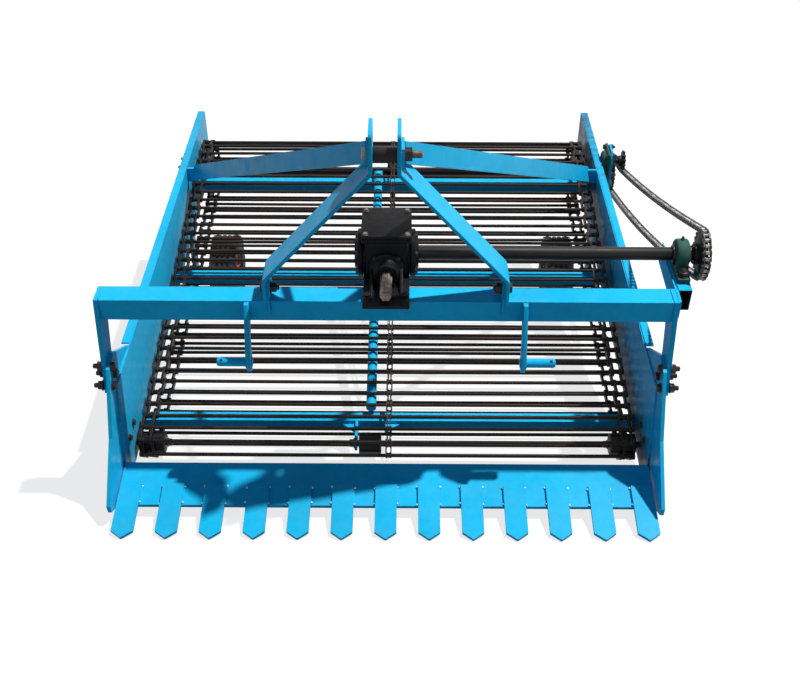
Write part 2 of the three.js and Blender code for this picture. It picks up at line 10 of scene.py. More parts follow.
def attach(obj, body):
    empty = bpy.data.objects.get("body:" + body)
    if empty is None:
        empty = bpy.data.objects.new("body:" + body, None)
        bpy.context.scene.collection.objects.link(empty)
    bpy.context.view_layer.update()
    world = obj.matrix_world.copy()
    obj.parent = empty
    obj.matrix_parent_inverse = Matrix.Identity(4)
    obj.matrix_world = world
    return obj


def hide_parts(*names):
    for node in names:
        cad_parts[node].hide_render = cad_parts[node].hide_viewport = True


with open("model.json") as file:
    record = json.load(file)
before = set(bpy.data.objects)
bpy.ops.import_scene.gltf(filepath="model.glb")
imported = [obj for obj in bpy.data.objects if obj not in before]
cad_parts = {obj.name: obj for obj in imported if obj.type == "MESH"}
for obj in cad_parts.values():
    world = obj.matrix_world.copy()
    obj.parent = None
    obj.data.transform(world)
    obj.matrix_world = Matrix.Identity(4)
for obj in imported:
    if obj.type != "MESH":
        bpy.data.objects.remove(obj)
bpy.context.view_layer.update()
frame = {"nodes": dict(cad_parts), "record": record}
scene = bpy.context.scene
random.seed(7)

MM = 0.001
X, Y, Z = Vector((1, 0, 0)), Vector((0, 1, 0)), Vector((0, 0, 1))
LEFT_RIGHT = ((-1, "left"), (1, "right"))

# ---- machine axes
PTO_END = -46.0  # front end of the input shaft
SHAFT_Z = 50.0  # height of the gearbox's shafts over the beam


def machine_axes():
    """Matrix from machine millimetres to the row frame, from the input shaft's mount."""
    mount = next(m for m in frame["record"]["mounts"] if m["name"] == "pto_input")
    tilt = math.atan2(-mount["axis"][2], -mount["axis"][1])
    turn = Matrix.Rotation(tilt, 4, "X")
    end = turn @ Vector((0, PTO_END * MM, SHAFT_Z * MM))
    return Matrix.Translation(Vector(mount["pos_m"]) - end) @ turn @ Matrix.Scale(MM, 4)


TO_ROW = machine_axes()
FROM_ROW = TO_ROW.inverted()


def box(node):
    """Lowest and highest corner of a CAD node in machine axes."""
    points = [FROM_ROW @ v.co for v in frame["nodes"][node].data.vertices]
    return (Vector([min(p[i] for p in points) for i in range(3)]),
            Vector([max(p[i] for p in points) for i in range(3)]))


def centre(node):
    low, high = box(node)
    return (low + high) / 2


def beside(x, point):
    """The point moved along x to the given x."""
    return Vector((x, point.y, point.z))


# ---- driving sizes
sheet_in = box("cross_tube_front")[1].x
post_in, post_out = (corner.x for corner in box("end_post_right"))
CROSS_SHAFT = Vector((0, 180, SHAFT_Z))
CHAIN_PITCH = 19.05
chain_x = centre("drive_chain").x
web_shaft = beside(0, centre("web_shaft"))
WEB_FRONT_R = 46.0  # of the rods' path round the front idlers
WEB_REAR_R = 120.0  # of the rods' path round the web shaft
web_front = Vector((0, 33, -605))  # middle of the front idlers
ROD_COUNT = 71
ROD_R = 6.0
rod_half = box("web_upper_run")[1].x
side_chain_x = rod_half - 25  # middle of each side chain


# ---- mesh parts
# A part is (vertices, faces). Parts are drawn on local axes, moved, and joined.
def moved(part, matrix):
    return [matrix @ Vector(v) for v in part[0]], part[1]


def joined(parts):
    verts, faces = [], []
    for part_verts, part_faces in parts:
        base = len(verts)
        verts += part_verts
        faces += [[base + i for i in face] for face in part_faces]
    return verts, faces


def aimed(origin, direction, roll=0.0):
    """Matrix that puts a part drawn along local +Z at origin, pointing along direction."""
    turn = Vector(direction).to_track_quat("Z", "Y").to_matrix().to_4x4()
    return Matrix.Translation(origin) @ turn @ Matrix.Rotation(roll, 4, "Z")


def rings(sections, caps=True):
    """Skin over a list of rings with the same number of points."""
    count = len(sections[0])
    verts = [Vector(p) for ring in sections for p in ring]
    faces = []
    for i in range(len(sections) - 1):
        for j in range(count):
            k = (j + 1) % count
            faces.append([i * count + j, i * count + k, (i + 1) * count + k, (i + 1) * count + j])
    if caps:
        faces.append(list(reversed(range(count))))
        last = (len(sections) - 1) * count
        faces.append([last + j for j in range(count)])
    return verts, faces


def polar(radius, angle):
    return radius * math.cos(angle), radius * math.sin(angle)


def circle(radius, z, sides):
    return [(*polar(radius, 2 * math.pi * i / sides), z) for i in range(sides)]


def turned(profile, sides):
    """Profile of (radius, z) turned about local Z; the two ends are capped flat."""
    return rings([circle(r, z, sides) for r, z in profile])


def turned_at(origin, direction, profile, sides):
    """Profile of (radius, distance) turned about a direction through a point."""
    return moved(turned(profile, sides), aimed(origin, direction))


def ring_turned(profile, sides):
    """Closed profile of (radius, z) turned about local Z: a part with a bore."""
    sections = [circle(r, z, sides) for r, z in profile + profile[:1]]
    return rings(sections, caps=False)


def prism(outline, z0, z1):
    """Outline of (x, y) points drawn from z0 to z1 along local Z."""
    return rings([[(x, y, z0) for x, y in outline], [(x, y, z1) for x, y in outline]])


def slab(x0, x1, y0, y1, z0, z1):
    return prism([(x0, y0), (x1, y0), (x1, y1), (x0, y1)], z0, z1)


# Local axes for outlines given as (y, z) points and drawn along x.
ALONG_X = Matrix(((0, 0, 1, 0), (1, 0, 0, 0), (0, 1, 0, 0), (0, 0, 0, 1)))


def side_prism(outline, x0, x1):
    return moved(prism(outline, x0, x1), ALONG_X)


def bar(start, end, radius, sides):
    way = Vector(end) - Vector(start)
    return turned_at(start, way, [(radius, 0), (radius, way.length)], sides)


def cross_bar(x0, x1, at, radius, sides):
    """A round bar along x at a (y, z) place."""
    return bar((x0, *at), (x1, *at), radius, sides)


def tube_along(points, radius, sides, radii=None):
    """A round section carried along a line of points."""
    points = [Vector(p) for p in points]
    sections = []
    for i, point in enumerate(points):
        way = points[min(i + 1, len(points) - 1)] - points[max(i - 1, 0)]
        r = radii[i] if radii else radius
        turn = aimed(point, way)
        sections.append([turn @ Vector(p) for p in circle(r, 0, sides)])
    return rings(sections)


BEVEL_ABOVE = math.radians(30)  # edges sharper than this are rounded


def rounded(part, width, segments=2):
    """The same part with its sharp edges bevelled."""
    bm = bmesh.new()
    verts = [bm.verts.new(v) for v in part[0]]
    for face in part[1]:
        bm.faces.new([verts[i] for i in face])
    bmesh.ops.recalc_face_normals(bm, faces=bm.faces)
    edges = [e for e in bm.edges if e.is_manifold and e.calc_face_angle() > BEVEL_ABOVE]
    bmesh.ops.bevel(bm, geom=edges, offset=width, segments=segments, profile=0.6,
                    affect="EDGES", clamp_overlap=True)
    bm.verts.index_update()
    result = [v.co.copy() for v in bm.verts], [[v.index for v in f.verts] for f in bm.faces]
    bm.free()
    return result


def linked(name, data):
    """A new object in the scene."""
    obj = bpy.data.objects.new(name, data)
    scene.collection.objects.link(obj)
    return obj


def mesh_object(name, part, smooth_angle=0):
    """An object from a part, with its normals outward and smooth edges below an angle."""
    mesh = bpy.data.meshes.new(name)
    mesh.from_pydata([Vector(v) for v in part[0]], [], part[1])
    bm = bmesh.new()
    bm.from_mesh(mesh)
    bmesh.ops.recalc_face_normals(bm, faces=bm.faces)
    if smooth_angle:
        limit = math.radians(smooth_angle)
        for edge in bm.edges:
            edge.smooth = edge.is_manifold and edge.calc_face_angle(0) < limit
        for face in bm.faces:
            face.smooth = True
    bm.to_mesh(mesh)
    bm.free()
    return linked(name, mesh)


def drilled(part, tools):
    """The part with other closed parts cut out of it."""
    body, tool = mesh_object("scratch", part), mesh_object("scratch", joined(tools))
    cutter = body.modifiers.new("cut", "BOOLEAN")
    cutter.object = tool
    cutter.solver = "EXACT"
    mesh = body.evaluated_get(bpy.context.evaluated_depsgraph_get()).to_mesh()
    result = [v.co.copy() for v in mesh.vertices], [list(f.vertices) for f in mesh.polygons]
    for obj in (body, tool):
        bpy.data.objects.remove(obj)
    return result


def piece(name, parts, material, slot, *replaced, body="frame", smooth_angle=38):
    """A Blender piece from parts in machine axes, shown in place of the named CAD nodes."""
    obj = mesh_object(name, moved(joined(parts), TO_ROW), smooth_angle)
    obj.data.materials.append(material)
    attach(obj, body)
    if replaced:
        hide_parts(*replaced)


# ---- fasteners and welds
def hex_block(flats, z0, z1, chamfer=1.2):
    r = flats / math.sqrt(3)
    return rings([circle(r, z0, 6), circle(r, z1 - chamfer, 6), circle(r * 0.86, z1, 6)])


THREAD_PITCH = 1.9


def thread(radius, z0, z1):
    profile = [(radius * 0.88, z0)]
    z = z0
    while z + THREAD_PITCH < z1:
        profile += [(radius * 0.87, z + THREAD_PITCH * 0.1), (radius, z + THREAD_PITCH * 0.55)]
        z += THREAD_PITCH
    profile += [(radius * 0.87, z), (radius * 0.8, z1)]
    return turned(profile, 14)


def washer(radius, z0, z1):
    edge = radius * 0.97
    return turned([(edge, z0), (radius, z0 + 0.4), (radius, z1 - 0.4), (edge, z1)], 20)


def bolt_head(at, axis, size):
    """Washer and hexagon head of a bolt of that thread size, seated at a point."""
    roll = random.uniform(0, 1)
    parts = [washer(size * 1.02, 0, size * 0.14), hex_block(size * 1.5, size * 0.14, size * 0.72)]
    return [moved(p, aimed(at, axis, roll)) for p in parts]


def nut(at, axis, size, stick=0.6):
    """Washer, hexagon nut and the bolt's threaded end."""
    roll = random.uniform(0, 1)
    parts = [washer(size * 1.05, 0, size * 0.18), hex_block(size * 1.55, size * 0.18, size),
             thread(size * 0.5, size - 1, size * (1 + stick))]
    return [moved(p, aimed(at, axis, roll)) for p in parts]


WELD_STEP = 3.4  # from ripple to ripple


def weld(start, end, radius):
    """A rippled bead between two points."""
    start, end = Vector(start), Vector(end)
    count = max(3, int((end - start).length / WELD_STEP))
    points, radii = [], []
    for i in range(count * 2 + 1):
        t = i / (count * 2)
        wobble = Vector([random.uniform(-0.25, 0.25) for _ in range(3)])
        points.append(start.lerp(end, t) + wobble)
        swell = 1.0 if i % 2 else 0.84
        taper = min(1.0, 0.55 + 4 * min(t, 1 - t))
        radii.append(radius * swell * taper * random.uniform(0.93, 1.07))
    return tube_along(points, radius, 6, radii)


def spatter(at, radius):
    return moved(turned([(radius * 0.6, -radius * 0.4), (radius, 0), (radius * 0.7, radius * 0.6),
                         (radius * 0.2, radius * 0.8)], 8), Matrix.Translation(at))


# ---- materials
def add_node(tree, kind, inputs=None, **settings):
    made = tree.nodes.new(kind)
    for key, value in settings.items():
        setattr(made, key, value)
    for key, value in (inputs or {}).items():
        if isinstance(value, bpy.types.NodeSocket):
            tree.links.new(value, made.inputs[key])
        else:
            made.inputs[key].default_value = value
    return made


class Finish:
    """A principled material that is built up in layers of procedural colour."""

    def __init__(self, name):
        self.material = bpy.data.materials.new(name)
        self.material.use_nodes = True
        self.tree = self.material.node_tree
        self.shader = self.tree.nodes["Principled BSDF"]
        self.coords = add_node(self.tree, "ShaderNodeTexCoord").outputs["Object"]

    def noise(self, scale, detail=4.0, rough=0.55, stretch=None, offset=0.0):
        vector = self.coords
        if stretch or offset:
            vector = add_node(self.tree, "ShaderNodeMapping", {
                "Vector": vector, "Scale": stretch or (1, 1, 1),
                "Location": (offset, offset, offset)}).outputs[0]
        return add_node(self.tree, "ShaderNodeTexNoise", {
            "Vector": vector, "Scale": scale, "Detail": detail, "Roughness": rough}).outputs[0]

    def remap(self, value, low, high, to_low=0.0, to_high=1.0):
        return add_node(self.tree, "ShaderNodeMapRange", {
            0: value, 1: low, 2: high, 3: to_low, 4: to_high}).outputs[0]

    def math(self, operation, a, b=0.0):
        return add_node(self.tree, "ShaderNodeMath", {0: a, 1: b}, operation=operation).outputs[0]

    def times(self, a, b):
        return self.math("MULTIPLY", a, b)

    def dot(self, a, b):
        return add_node(self.tree, "ShaderNodeVectorMath", {0: a, 1: b},
                        operation="DOT_PRODUCT").outputs["Value"]

    def shaded(self, colour, shade):
        """The colour times a grey level."""
        grey = add_node(self.tree, "ShaderNodeCombineColor", {0: shade, 1: shade, 2: shade})
        return self.mix(1.0, colour, grey.outputs[0], "MULTIPLY")

    def mix(self, factor, a, b, blend="MIX"):
        made = add_node(self.tree, "ShaderNodeMix", {0: factor, 6: a, 7: b},
                        data_type="RGBA", blend_type=blend)
        return made.outputs[2]

    def facing_up(self, low=0.35, high=0.95):
        normal = add_node(self.tree, "ShaderNodeNewGeometry").outputs["Normal"]
        height = add_node(self.tree, "ShaderNodeSeparateXYZ", {0: normal}).outputs[2]
        return self.remap(height, low, high)

    def soft_edges(self, radius):
        return add_node(self.tree, "ShaderNodeBevel", {"Radius": radius}, samples=4).outputs[0]

    def worn_edges(self, radius=0.003, low=0.02, high=0.16):
        """1 along sharp edges, 0 on flat faces."""
        flat = add_node(self.tree, "ShaderNodeNewGeometry").outputs["Normal"]
        facing = self.dot(self.soft_edges(radius), flat)
        return self.remap(self.math("SUBTRACT", 1.0, facing), low, high)

    def set(self, **sockets):
        for key, value in sockets.items():
            name = key.replace("_", " ").title().replace("Ior", "IOR")
            socket = self.shader.inputs[name]
            if isinstance(value, bpy.types.NodeSocket):
                self.tree.links.new(value, socket)
            else:
                socket.default_value = value

    def relief(self, height, strength, distance, edge_radius):
        """Bumps over a surface whose edges are softened to a radius."""
        bump = add_node(self.tree, "ShaderNodeBump", {
            "Height": height, "Strength": strength, "Distance": distance,
            "Normal": self.soft_edges(edge_radius)})
        self.tree.links.new(bump.outputs[0], self.shader.inputs["Normal"])


def rgb(r, g, b):
    return (r, g, b, 1.0)


BLUE = rgb(0.010, 0.49, 0.82)
RUST = rgb(0.12, 0.045, 0.018)


def paint(name, colour, dust=0.06, wear=0.5, stain_and_shade=None):
    """Brushed-on enamel: uneven tone, dust on top faces, worn edges, fine orange peel."""
    f = Finish(name)
    tone = f.remap(f.noise(2.3, 5), 0.3, 0.7, 0.86, 1.06)
    mottle = f.remap(f.noise(42, 4), 0.3, 0.7, 0.94, 1.04)
    base = f.shaded(colour, f.times(tone, mottle))
    streaks = f.remap(f.noise(14, 5, 0.6, stretch=(1.6, 1.6, 0.25), offset=3), 0.56, 0.8)
    base = f.mix(f.times(streaks, 0.08), base, rgb(0.05, 0.24, 0.38))
    dirt = f.times(f.facing_up(), f.remap(f.noise(9, 8, 0.65, offset=7), 0.42, 0.75))
    base = f.mix(f.times(dirt, dust), base, rgb(0.42, 0.40, 0.36))
    # a caller's stains, rub marks and painted shade go on here
    if stain_and_shade:
        base = stain_and_shade(f, base)
    edge = f.worn_edges()
    broken = f.remap(f.noise(95, 6, 0.7, offset=1), 0.52, 0.6)
    worn = f.times(f.times(edge, broken), wear)
    specks = f.remap(f.noise(150, 3, 0.6, offset=11), 0.735, 0.76)
    worn = f.math("MAXIMUM", worn, f.times(specks, wear))
    base = f.mix(worn, base, RUST)
    rough = f.math("ADD", f.remap(f.noise(20, 5, offset=5), 0.3, 0.7, 0.28, 0.46),
                   f.times(worn, 0.3))
    f.set(base_color=base, roughness=rough, metallic=0.0, ior=1.15)
    peel = f.math("ADD", f.noise(260, 2), f.times(f.noise(11, 3), 3.0))
    f.relief(peel, 0.05, 0.0012, edge_radius=0.0016)
    return f.material


ROD_STRIPE_PITCH = 0.0506  # metres from one rod's stripe to the next: a rub mark with the rod's painted shadow and reflection
# strength and colour of each sheet's band; the right sheet's stronger, darker band is painted shade
ROD_MARKS_AND_SHADE = {-1: (0.28, rgb(0.10, 0.08, 0.12)), 1: (0.95, rgb(0.055, 0.036, 0.062))}


def sheet_rub_and_shadow(side):
    """Grey-violet band along a side sheet above the web: rub marks of the rod ends, with the rods' painted
    shadow and reflection in stripes at the rod pitch.
    """
    slope = math.atan2((web_shaft.z + WEB_REAR_R) - (web_front.z + WEB_FRONT_R),
                       web_shaft.y - web_front.y)
    start = TO_ROW @ Vector((0, web_front.y, web_front.z + WEB_FRONT_R))
    run = (TO_ROW.to_3x3() @ Vector((0, math.cos(slope), math.sin(slope)))).normalized()
    up = (TO_ROW.to_3x3() @ Vector((0, -math.sin(slope), math.cos(slope)))).normalized()
    strength, colour = ROD_MARKS_AND_SHADE[side]

    def stain_and_shade(f, base):
        def along(direction):
            return f.math("SUBTRACT", f.dot(f.coords, direction), direction.dot(start))
        height = f.math("ADD", along(up),
                        f.times(f.math("SUBTRACT", f.noise(26, 4), 0.5), 0.05))
        low = f.remap(height, -0.16, -0.05)
        high = f.remap(height, 0.075, 0.02)
        # stripes at the rod pitch: the rods' painted shadow and reflection over their rub marks
        teeth = f.math("SINE", f.times(along(run), 2 * math.pi / ROD_STRIPE_PITCH))
        scallop = f.remap(teeth, -0.5, 0.6, 0.35, 1.0)
        above = f.times(f.remap(height, 0.11, 0.03), scallop)
        band = f.times(low, f.math("MAXIMUM", high, above))
        cloudy = f.remap(f.noise(11, 6, 0.6, offset=9), 0.32, 0.62, 0.25, 1.0)
        return f.mix(f.times(f.times(band, cloudy), strength), base, colour)
    return stain_and_shade


STUB_WALL = 4.5


def stub_painted_shade_and_rim(f, base):
    """Painted shade, near-black, inside the open stub tube, and its front rim near-black as well."""
    low, high = box("bearing_stub")
    middle = TO_ROW @ ((low + high) / 2)
    local = []
    for row in FROM_ROW.to_3x3():
        local.append(f.math("SUBTRACT", f.dot(f.coords, row), row.dot(middle)))
    half = (high - low) / 2
    inside = f.times(f.math("LESS_THAN", f.math("ABSOLUTE", local[0]), half.x - STUB_WALL),
                     f.math("LESS_THAN", f.math("ABSOLUTE", local[2]), half.z - STUB_WALL))
    rim = f.math("LESS_THAN", local[1], 0.4 - half.y)
    below_top = f.math("LESS_THAN", local[2], half.z - 0.4)
    # inside the tube: painted shade; the front rim near-black too
    dark = f.math("MAXIMUM", inside, f.times(rim, below_top))
    return f.mix(f.times(dark, 0.97), base, rgb(0.012, 0.012, 0.014))


def bare_steel(name, dark, light, rust, metal, rough, grain=(1, 1, 1), edge_shine=0.4):
    """Oiled or handled steel: dark film, lighter rubbed edges, rust in patches."""
    f = Finish(name)
    film = f.remap(f.noise(30, 6, 0.6, stretch=grain), 0.32, 0.68)
    base = f.mix(film, dark, light)
    patches = f.remap(f.noise(17, 7, 0.68, stretch=grain, offset=4), 0.5, 0.68)
    base = f.mix(f.times(patches, rust), base, RUST)
    shine = f.times(f.worn_edges(0.0015, 0.03, 0.25), edge_shine)
    base = f.mix(shine, base, rgb(0.28, 0.26, 0.24))
    roughness = f.math("ADD", f.remap(film, 0, 1, rough - 0.08, rough + 0.12),
                       f.times(patches, 0.25))
    f.set(base_color=base, roughness=roughness,
          metallic=f.remap(patches, 0, 1, metal, metal * 0.5), specular_ior_level=0.2)
    f.relief(f.noise(240, 4, 0.7, stretch=grain), 0.12, 0.001, edge_radius=0.0007)
    return f.material


def casting(name, colour, dust, shine):
    """Sand-cast iron under thick paint, rubbed bright along its edges."""
    f = Finish(name)
    base = f.shaded(colour, f.remap(f.noise(12, 5), 0.3, 0.7, 0.75, 1.2))
    dirt = f.times(f.facing_up(0.2, 0.9), f.remap(f.noise(24, 7, 0.7, offset=2), 0.4, 0.72))
    base = f.mix(f.times(dirt, dust), base, rgb(0.16, 0.15, 0.14))
    edge = f.times(f.worn_edges(0.003, 0.03, 0.3), f.remap(f.noise(80, 5, 0.7), 0.45, 0.6))
    base = f.mix(f.times(edge, shine), base, rgb(0.16, 0.14, 0.13))
    f.set(base_color=base, roughness=f.remap(f.noise(50, 4), 0.3, 0.7, 0.4, 0.6), metallic=0.0, ior=1.2)
    f.relief(f.math("ADD", f.noise(130, 5, 0.7), f.noise(420, 2)), 0.35, 0.0009, edge_radius=0.0025)
    return f.material


def rubber(name):
    f = Finish(name)
    worn = f.remap(f.noise(22, 6, 0.65), 0.4, 0.7)
    base = f.mix(f.times(worn, 0.5), rgb(0.014, 0.014, 0.015), rgb(0.085, 0.075, 0.062))
    f.set(base_color=base, roughness=f.remap(worn, 0, 1, 0.62, 0.9), metallic=0.0)
    f.relief(f.noise(300, 4, 0.7), 0.2, 0.0008, edge_radius=0.001)
    return f.material


PAINT = paint("blue_paint", BLUE)
# side sheets with rub marks and painted shade along the web
SHEET_PAINT = {side: paint(f"blue_sheet_{name}", BLUE, stain_and_shade=sheet_rub_and_shadow(side))
               for side, name in LEFT_RIGHT}
GEARBOX = casting("gearbox_black", rgb(0.005, 0.005, 0.007), dust=0.02, shine=0.36)
GREEN = casting("bearing_green", rgb(0.030, 0.105, 0.078), dust=0.22, shine=0.6)
WEB_STEEL = bare_steel("web_steel", rgb(0.007, 0.006, 0.006), rgb(0.022, 0.018, 0.017), rust=0.4,
                       metal=0.4, rough=0.44, grain=(0.12, 1, 1))
LINK_STEEL = bare_steel("web_link_steel", rgb(0.007, 0.006, 0.006), rgb(0.024, 0.021, 0.020),
                        rust=0.35, metal=0.6, rough=0.42)
# Drive chain: real rubbed edges, lightened further, and rollers in light steel paint the chain's highlight
# dots.
CHAIN_STEEL = bare_steel("drive_chain_steel", rgb(0.012, 0.0115, 0.011), rgb(0.055, 0.052, 0.049),
                         rust=0.15, metal=0.8, rough=0.36, edge_shine=0.6)
ROLLER_HIGHLIGHT_STEEL = bare_steel("roller_highlight_steel", rgb(0.10, 0.098, 0.092), rgb(0.34, 0.33, 0.31), rust=0.1,
                          metal=0.85, rough=0.34)
SHAFT_STEEL = bare_steel("shaft_steel", rgb(0.008, 0.008, 0.009), rgb(0.022, 0.021, 0.020),
                         rust=0.15, metal=0.45, rough=0.42, grain=(0.2, 1, 1))
SPLINE_STEEL = bare_steel("spline_steel", rgb(0.10, 0.072, 0.058), rgb(0.30, 0.26, 0.23),
                          rust=0.75, metal=0.8, rough=0.38, edge_shine=0.9)
BOLT_BLACK = bare_steel("bolt_black", rgb(0.010, 0.010, 0.011), rgb(0.032, 0.031, 0.031),
                        rust=0.35, metal=0.6, rough=0.36)
BOLT_BARE = bare_steel("bolt_bare", rgb(0.13, 0.10, 0.085), rgb(0.34, 0.30, 0.26), rust=0.5,
                       metal=0.8, rough=0.4)
# tack welds at the finger corners, near-white as painted highlight
TACK_HIGHLIGHT = bare_steel("tack_highlight", rgb(0.50, 0.62, 0.66), rgb(0.85, 0.92, 0.95), rust=0.05, metal=0.2,
                  rough=0.3)
RUBBER = rubber("tyre_rubber")
RIM_RED = paint("rim_red", rgb(0.52, 0.030, 0.014), dust=0.3, wear=0.6)

SLOT_FINISH = {
    "blue_paint": PAINT, "gearbox_paint": GEARBOX, "dark_steel": SHAFT_STEEL,
    "bare_steel": SPLINE_STEEL, "bearing_paint": GREEN, "tyre": RUBBER, "rim_paint": RIM_RED}
# stub tube with painted shade inside
STUB_PAINT = paint("blue_stub", BLUE, stain_and_shade=stub_painted_shade_and_rim)
for part in frame["record"]["subparts"]:
    node = frame["nodes"][part["node"]]
    node.data.materials.clear()
    node.data.materials.append(SLOT_FINISH[part["material_slot"]])
for side, name in LEFT_RIGHT:
    frame["nodes"][f"side_sheet_{name}"].data.materials[0] = SHEET_PAINT[side]
frame["nodes"]["bearing_stub"].data.materials[0] = STUB_PAINT


# ---- belts round circles
class Belt:
    """Centre line of a chain round circles (y, z, r, turn), turn -1 where it bends back."""

    def __init__(self, circles):
        self.pieces = []
        spans = []
        for i, (y, z, r, turn) in enumerate(circles):
            y2, z2, r2, turn2 = circles[(i + 1) % len(circles)]
            way = math.atan2(z2 - z, y2 - y)
            lean = math.asin((r2 * turn2 - r * turn) / math.hypot(y2 - y, z2 - z))
            out = way + math.pi / 2 + lean
            spans.append((out, (y + r * turn * math.cos(out), z + r * turn * math.sin(out)),
                          (y2 + r2 * turn2 * math.cos(out), z2 + r2 * turn2 * math.sin(out))))
        for i, (out, start, end) in enumerate(spans):
            y, z, r, turn = circles[(i + 1) % len(circles)]
            self.pieces.append(("span", math.dist(start, end), start, end))
            sweep = spans[(i + 1) % len(spans)][0] - out
            while sweep * turn > 1e-9:
                sweep -= turn * 2 * math.pi
            self.pieces.append(("arc", abs(sweep) * r, (y, z, r * turn), (out, sweep)))
        self.length = sum(p[1] for p in self.pieces)

    def at(self, s, sag=()):
        """Point (y, z) at a distance along the belt; spans may sag by the given depths."""
        s %= self.length
        span = 0
        for kind, length, a, b in self.pieces:
            if s <= length:
                t = s / length
                if kind == "span":
                    depth = sag[span] if span < len(sag) else 0.0
                    return (a[0] + (b[0] - a[0]) * t,
                            a[1] + (b[1] - a[1]) * t - 4 * depth * t * (1 - t))
                angle = b[0] + b[1] * t
                return a[0] + a[2] * math.cos(angle), a[1] + a[2] * math.sin(angle)
            s -= length
            span += kind == "span"
        return self.at(0.0)


def link_plate(start, end, x0, x1, radius, waist, sides=5):
    """A waisted side plate between two pins, in the y-z plane."""
    start, end = Vector((0, *start)), Vector((0, *end))
    length = (end - start).length
    outline = []
    for i in range(sides + 1):
        a = math.pi / 2 + 0.45 + (math.pi - 0.9) * i / sides
        outline.append(polar(radius, a))
    outline.append((length / 2, -waist))
    for i in range(sides + 1):
        a = -math.pi / 2 + 0.45 + (math.pi - 0.9) * i / sides
        outline.append((length + radius * math.cos(a), radius * math.sin(a)))
    outline.append((length / 2, waist))
    angle = math.atan2(end.z - start.z, end.y - start.y)
    place = Matrix.Translation(start) @ Matrix.Rotation(angle, 4, "X")
    return moved(side_prism(outline, x0, x1), place)


# ---- digging web
web = Belt([(web_front.y, web_front.z, WEB_FRONT_R, 1),
            (web_shaft.y, web_shaft.z, WEB_REAR_R, 1)])
web_pitch = web.length / ROD_COUNT
web_points = [web.at((k + 0.5) * web_pitch) for k in range(ROD_COUNT)]


def web_rod(y, z):
    """A rod with a slight set in it, its ends headed outside the side chains."""
    bow = random.uniform(-2.2, 1.6)
    lean = random.uniform(-1.2, 1.2)
    points = []
    for i in range(9):
        t = i / 8 * 2 - 1
        points.append(((rod_half - 6) * t, y + lean * (1 - t * t), z + bow * (1 - t * t)))
    heads = [cross_bar(side * (rod_half - 7), side * (rod_half - 0.5), (y, z), ROD_R * 1.35, 10)
             for side in (-1, 1)]
    return [tube_along(points, ROD_R, 12)] + heads


rods = [part for y, z in web_points for part in web_rod(y, z)]
piece("web_rods", rods, WEB_STEEL, "dark_steel")

MID_CHAIN_X = 4.0
SIDE_STRANDS = (-18.0, 15.0)  # link strands either side of each side chain's middle
links = []
for k in range(ROD_COUNT):
    a, b = web_points[k], web_points[(k + 1) % ROD_COUNT]
    step = 4.0 if k % 2 else -4.0
    for side in (-1, 1):
        for strand in SIDE_STRANDS:
            x = side * (side_chain_x + strand)
            links.append(link_plate(a, b, x + step - 3.8, x + step + 3.8, 11.5, 7.5))
    for strand in (-1, 1):
        x = MID_CHAIN_X + strand * (8.0 if k % 2 else 4.6)
        links.append(link_plate(a, b, x - 1.7, x + 1.7, 9.5, 6.5))
    for side in (-1, 1):
        x = side * (side_chain_x - 2)
        links.append(cross_bar(x - 12, x + 12, a, 8.6, 10))
    links.append(cross_bar(MID_CHAIN_X - 10, MID_CHAIN_X + 10, a, 7.8, 10))
piece("web_links", links, LINK_STEEL, "dark_steel",
      "web_upper_run", "web_rear_turn", "web_lower_run", "web_front_turn")


# ---- toothed wheels and shafts
def pitch_radius(teeth):
    """Radius of the chain's pins round a sprocket."""
    return CHAIN_PITCH / 2 / math.sin(math.pi / teeth)


def toothed(teeth, pitch_r, x0, x1, depth, first_gap=0.0):
    """A sprocket disc about the x axis, with round tooth gaps."""
    profile = [(0.0, -depth), (0.12, -depth * 0.92), (0.22, -depth * 0.55), (0.33, depth * 0.25),
               (0.44, depth * 0.95), (0.56, depth * 0.95), (0.67, depth * 0.25),
               (0.78, -depth * 0.55), (0.88, -depth * 0.92)]
    outline = []
    for i in range(teeth):
        for turn, grow in profile:
            a = first_gap + (i + turn) * 2 * math.pi / teeth
            outline.append(polar(pitch_r + grow, a))
    return side_prism(outline, x0, x1)


def drive_sprocket(teeth, first_gap=0.0):
    """A sprocket of the drive chain."""
    return toothed(teeth, pitch_radius(teeth), chain_x - 4.8, chain_x + 4.8, 5.6, first_gap)


def turned_x(profile, sides):
    """Profile of (radius, x) turned about the x axis."""
    return turned_at((0, 0, 0), X, profile, sides)


def at_shaft(parts, shaft):
    return [moved(p, Matrix.Translation(shaft)) for p in parts]


DRIVE_TEETH, TENSIONER_TEETH, WEB_TEETH = 24, 12, 15
shaft_end = box("cross_shaft")[1].x
cross_parts = [
    turned_x([(20, 60), (20, shaft_end - 3), (18, shaft_end)], 36),
    turned_x([(30, chain_x - 24), (32, chain_x - 22), (32, chain_x + 7), (30, chain_x + 8)], 32),
    turned_x([(52, chain_x - 7), (54, chain_x - 5.5), (54, chain_x + 5.5), (52, chain_x + 7)], 40),
    drive_sprocket(DRIVE_TEETH),
]
for i in range(6):
    a = i * math.pi / 3
    cross_parts.append(moved(hex_block(11, 0, 7), aimed((chain_x + 5, *polar(43, a)), X, a)))
cross_parts.append(slab(chain_x - 22, shaft_end - 2, -3.5, 3.5, 17, 24.5))
piece("cross_shaft_detail", at_shaft(cross_parts, CROSS_SHAFT), SHAFT_STEEL, "dark_steel",
      "cross_shaft", body="cross_drive")

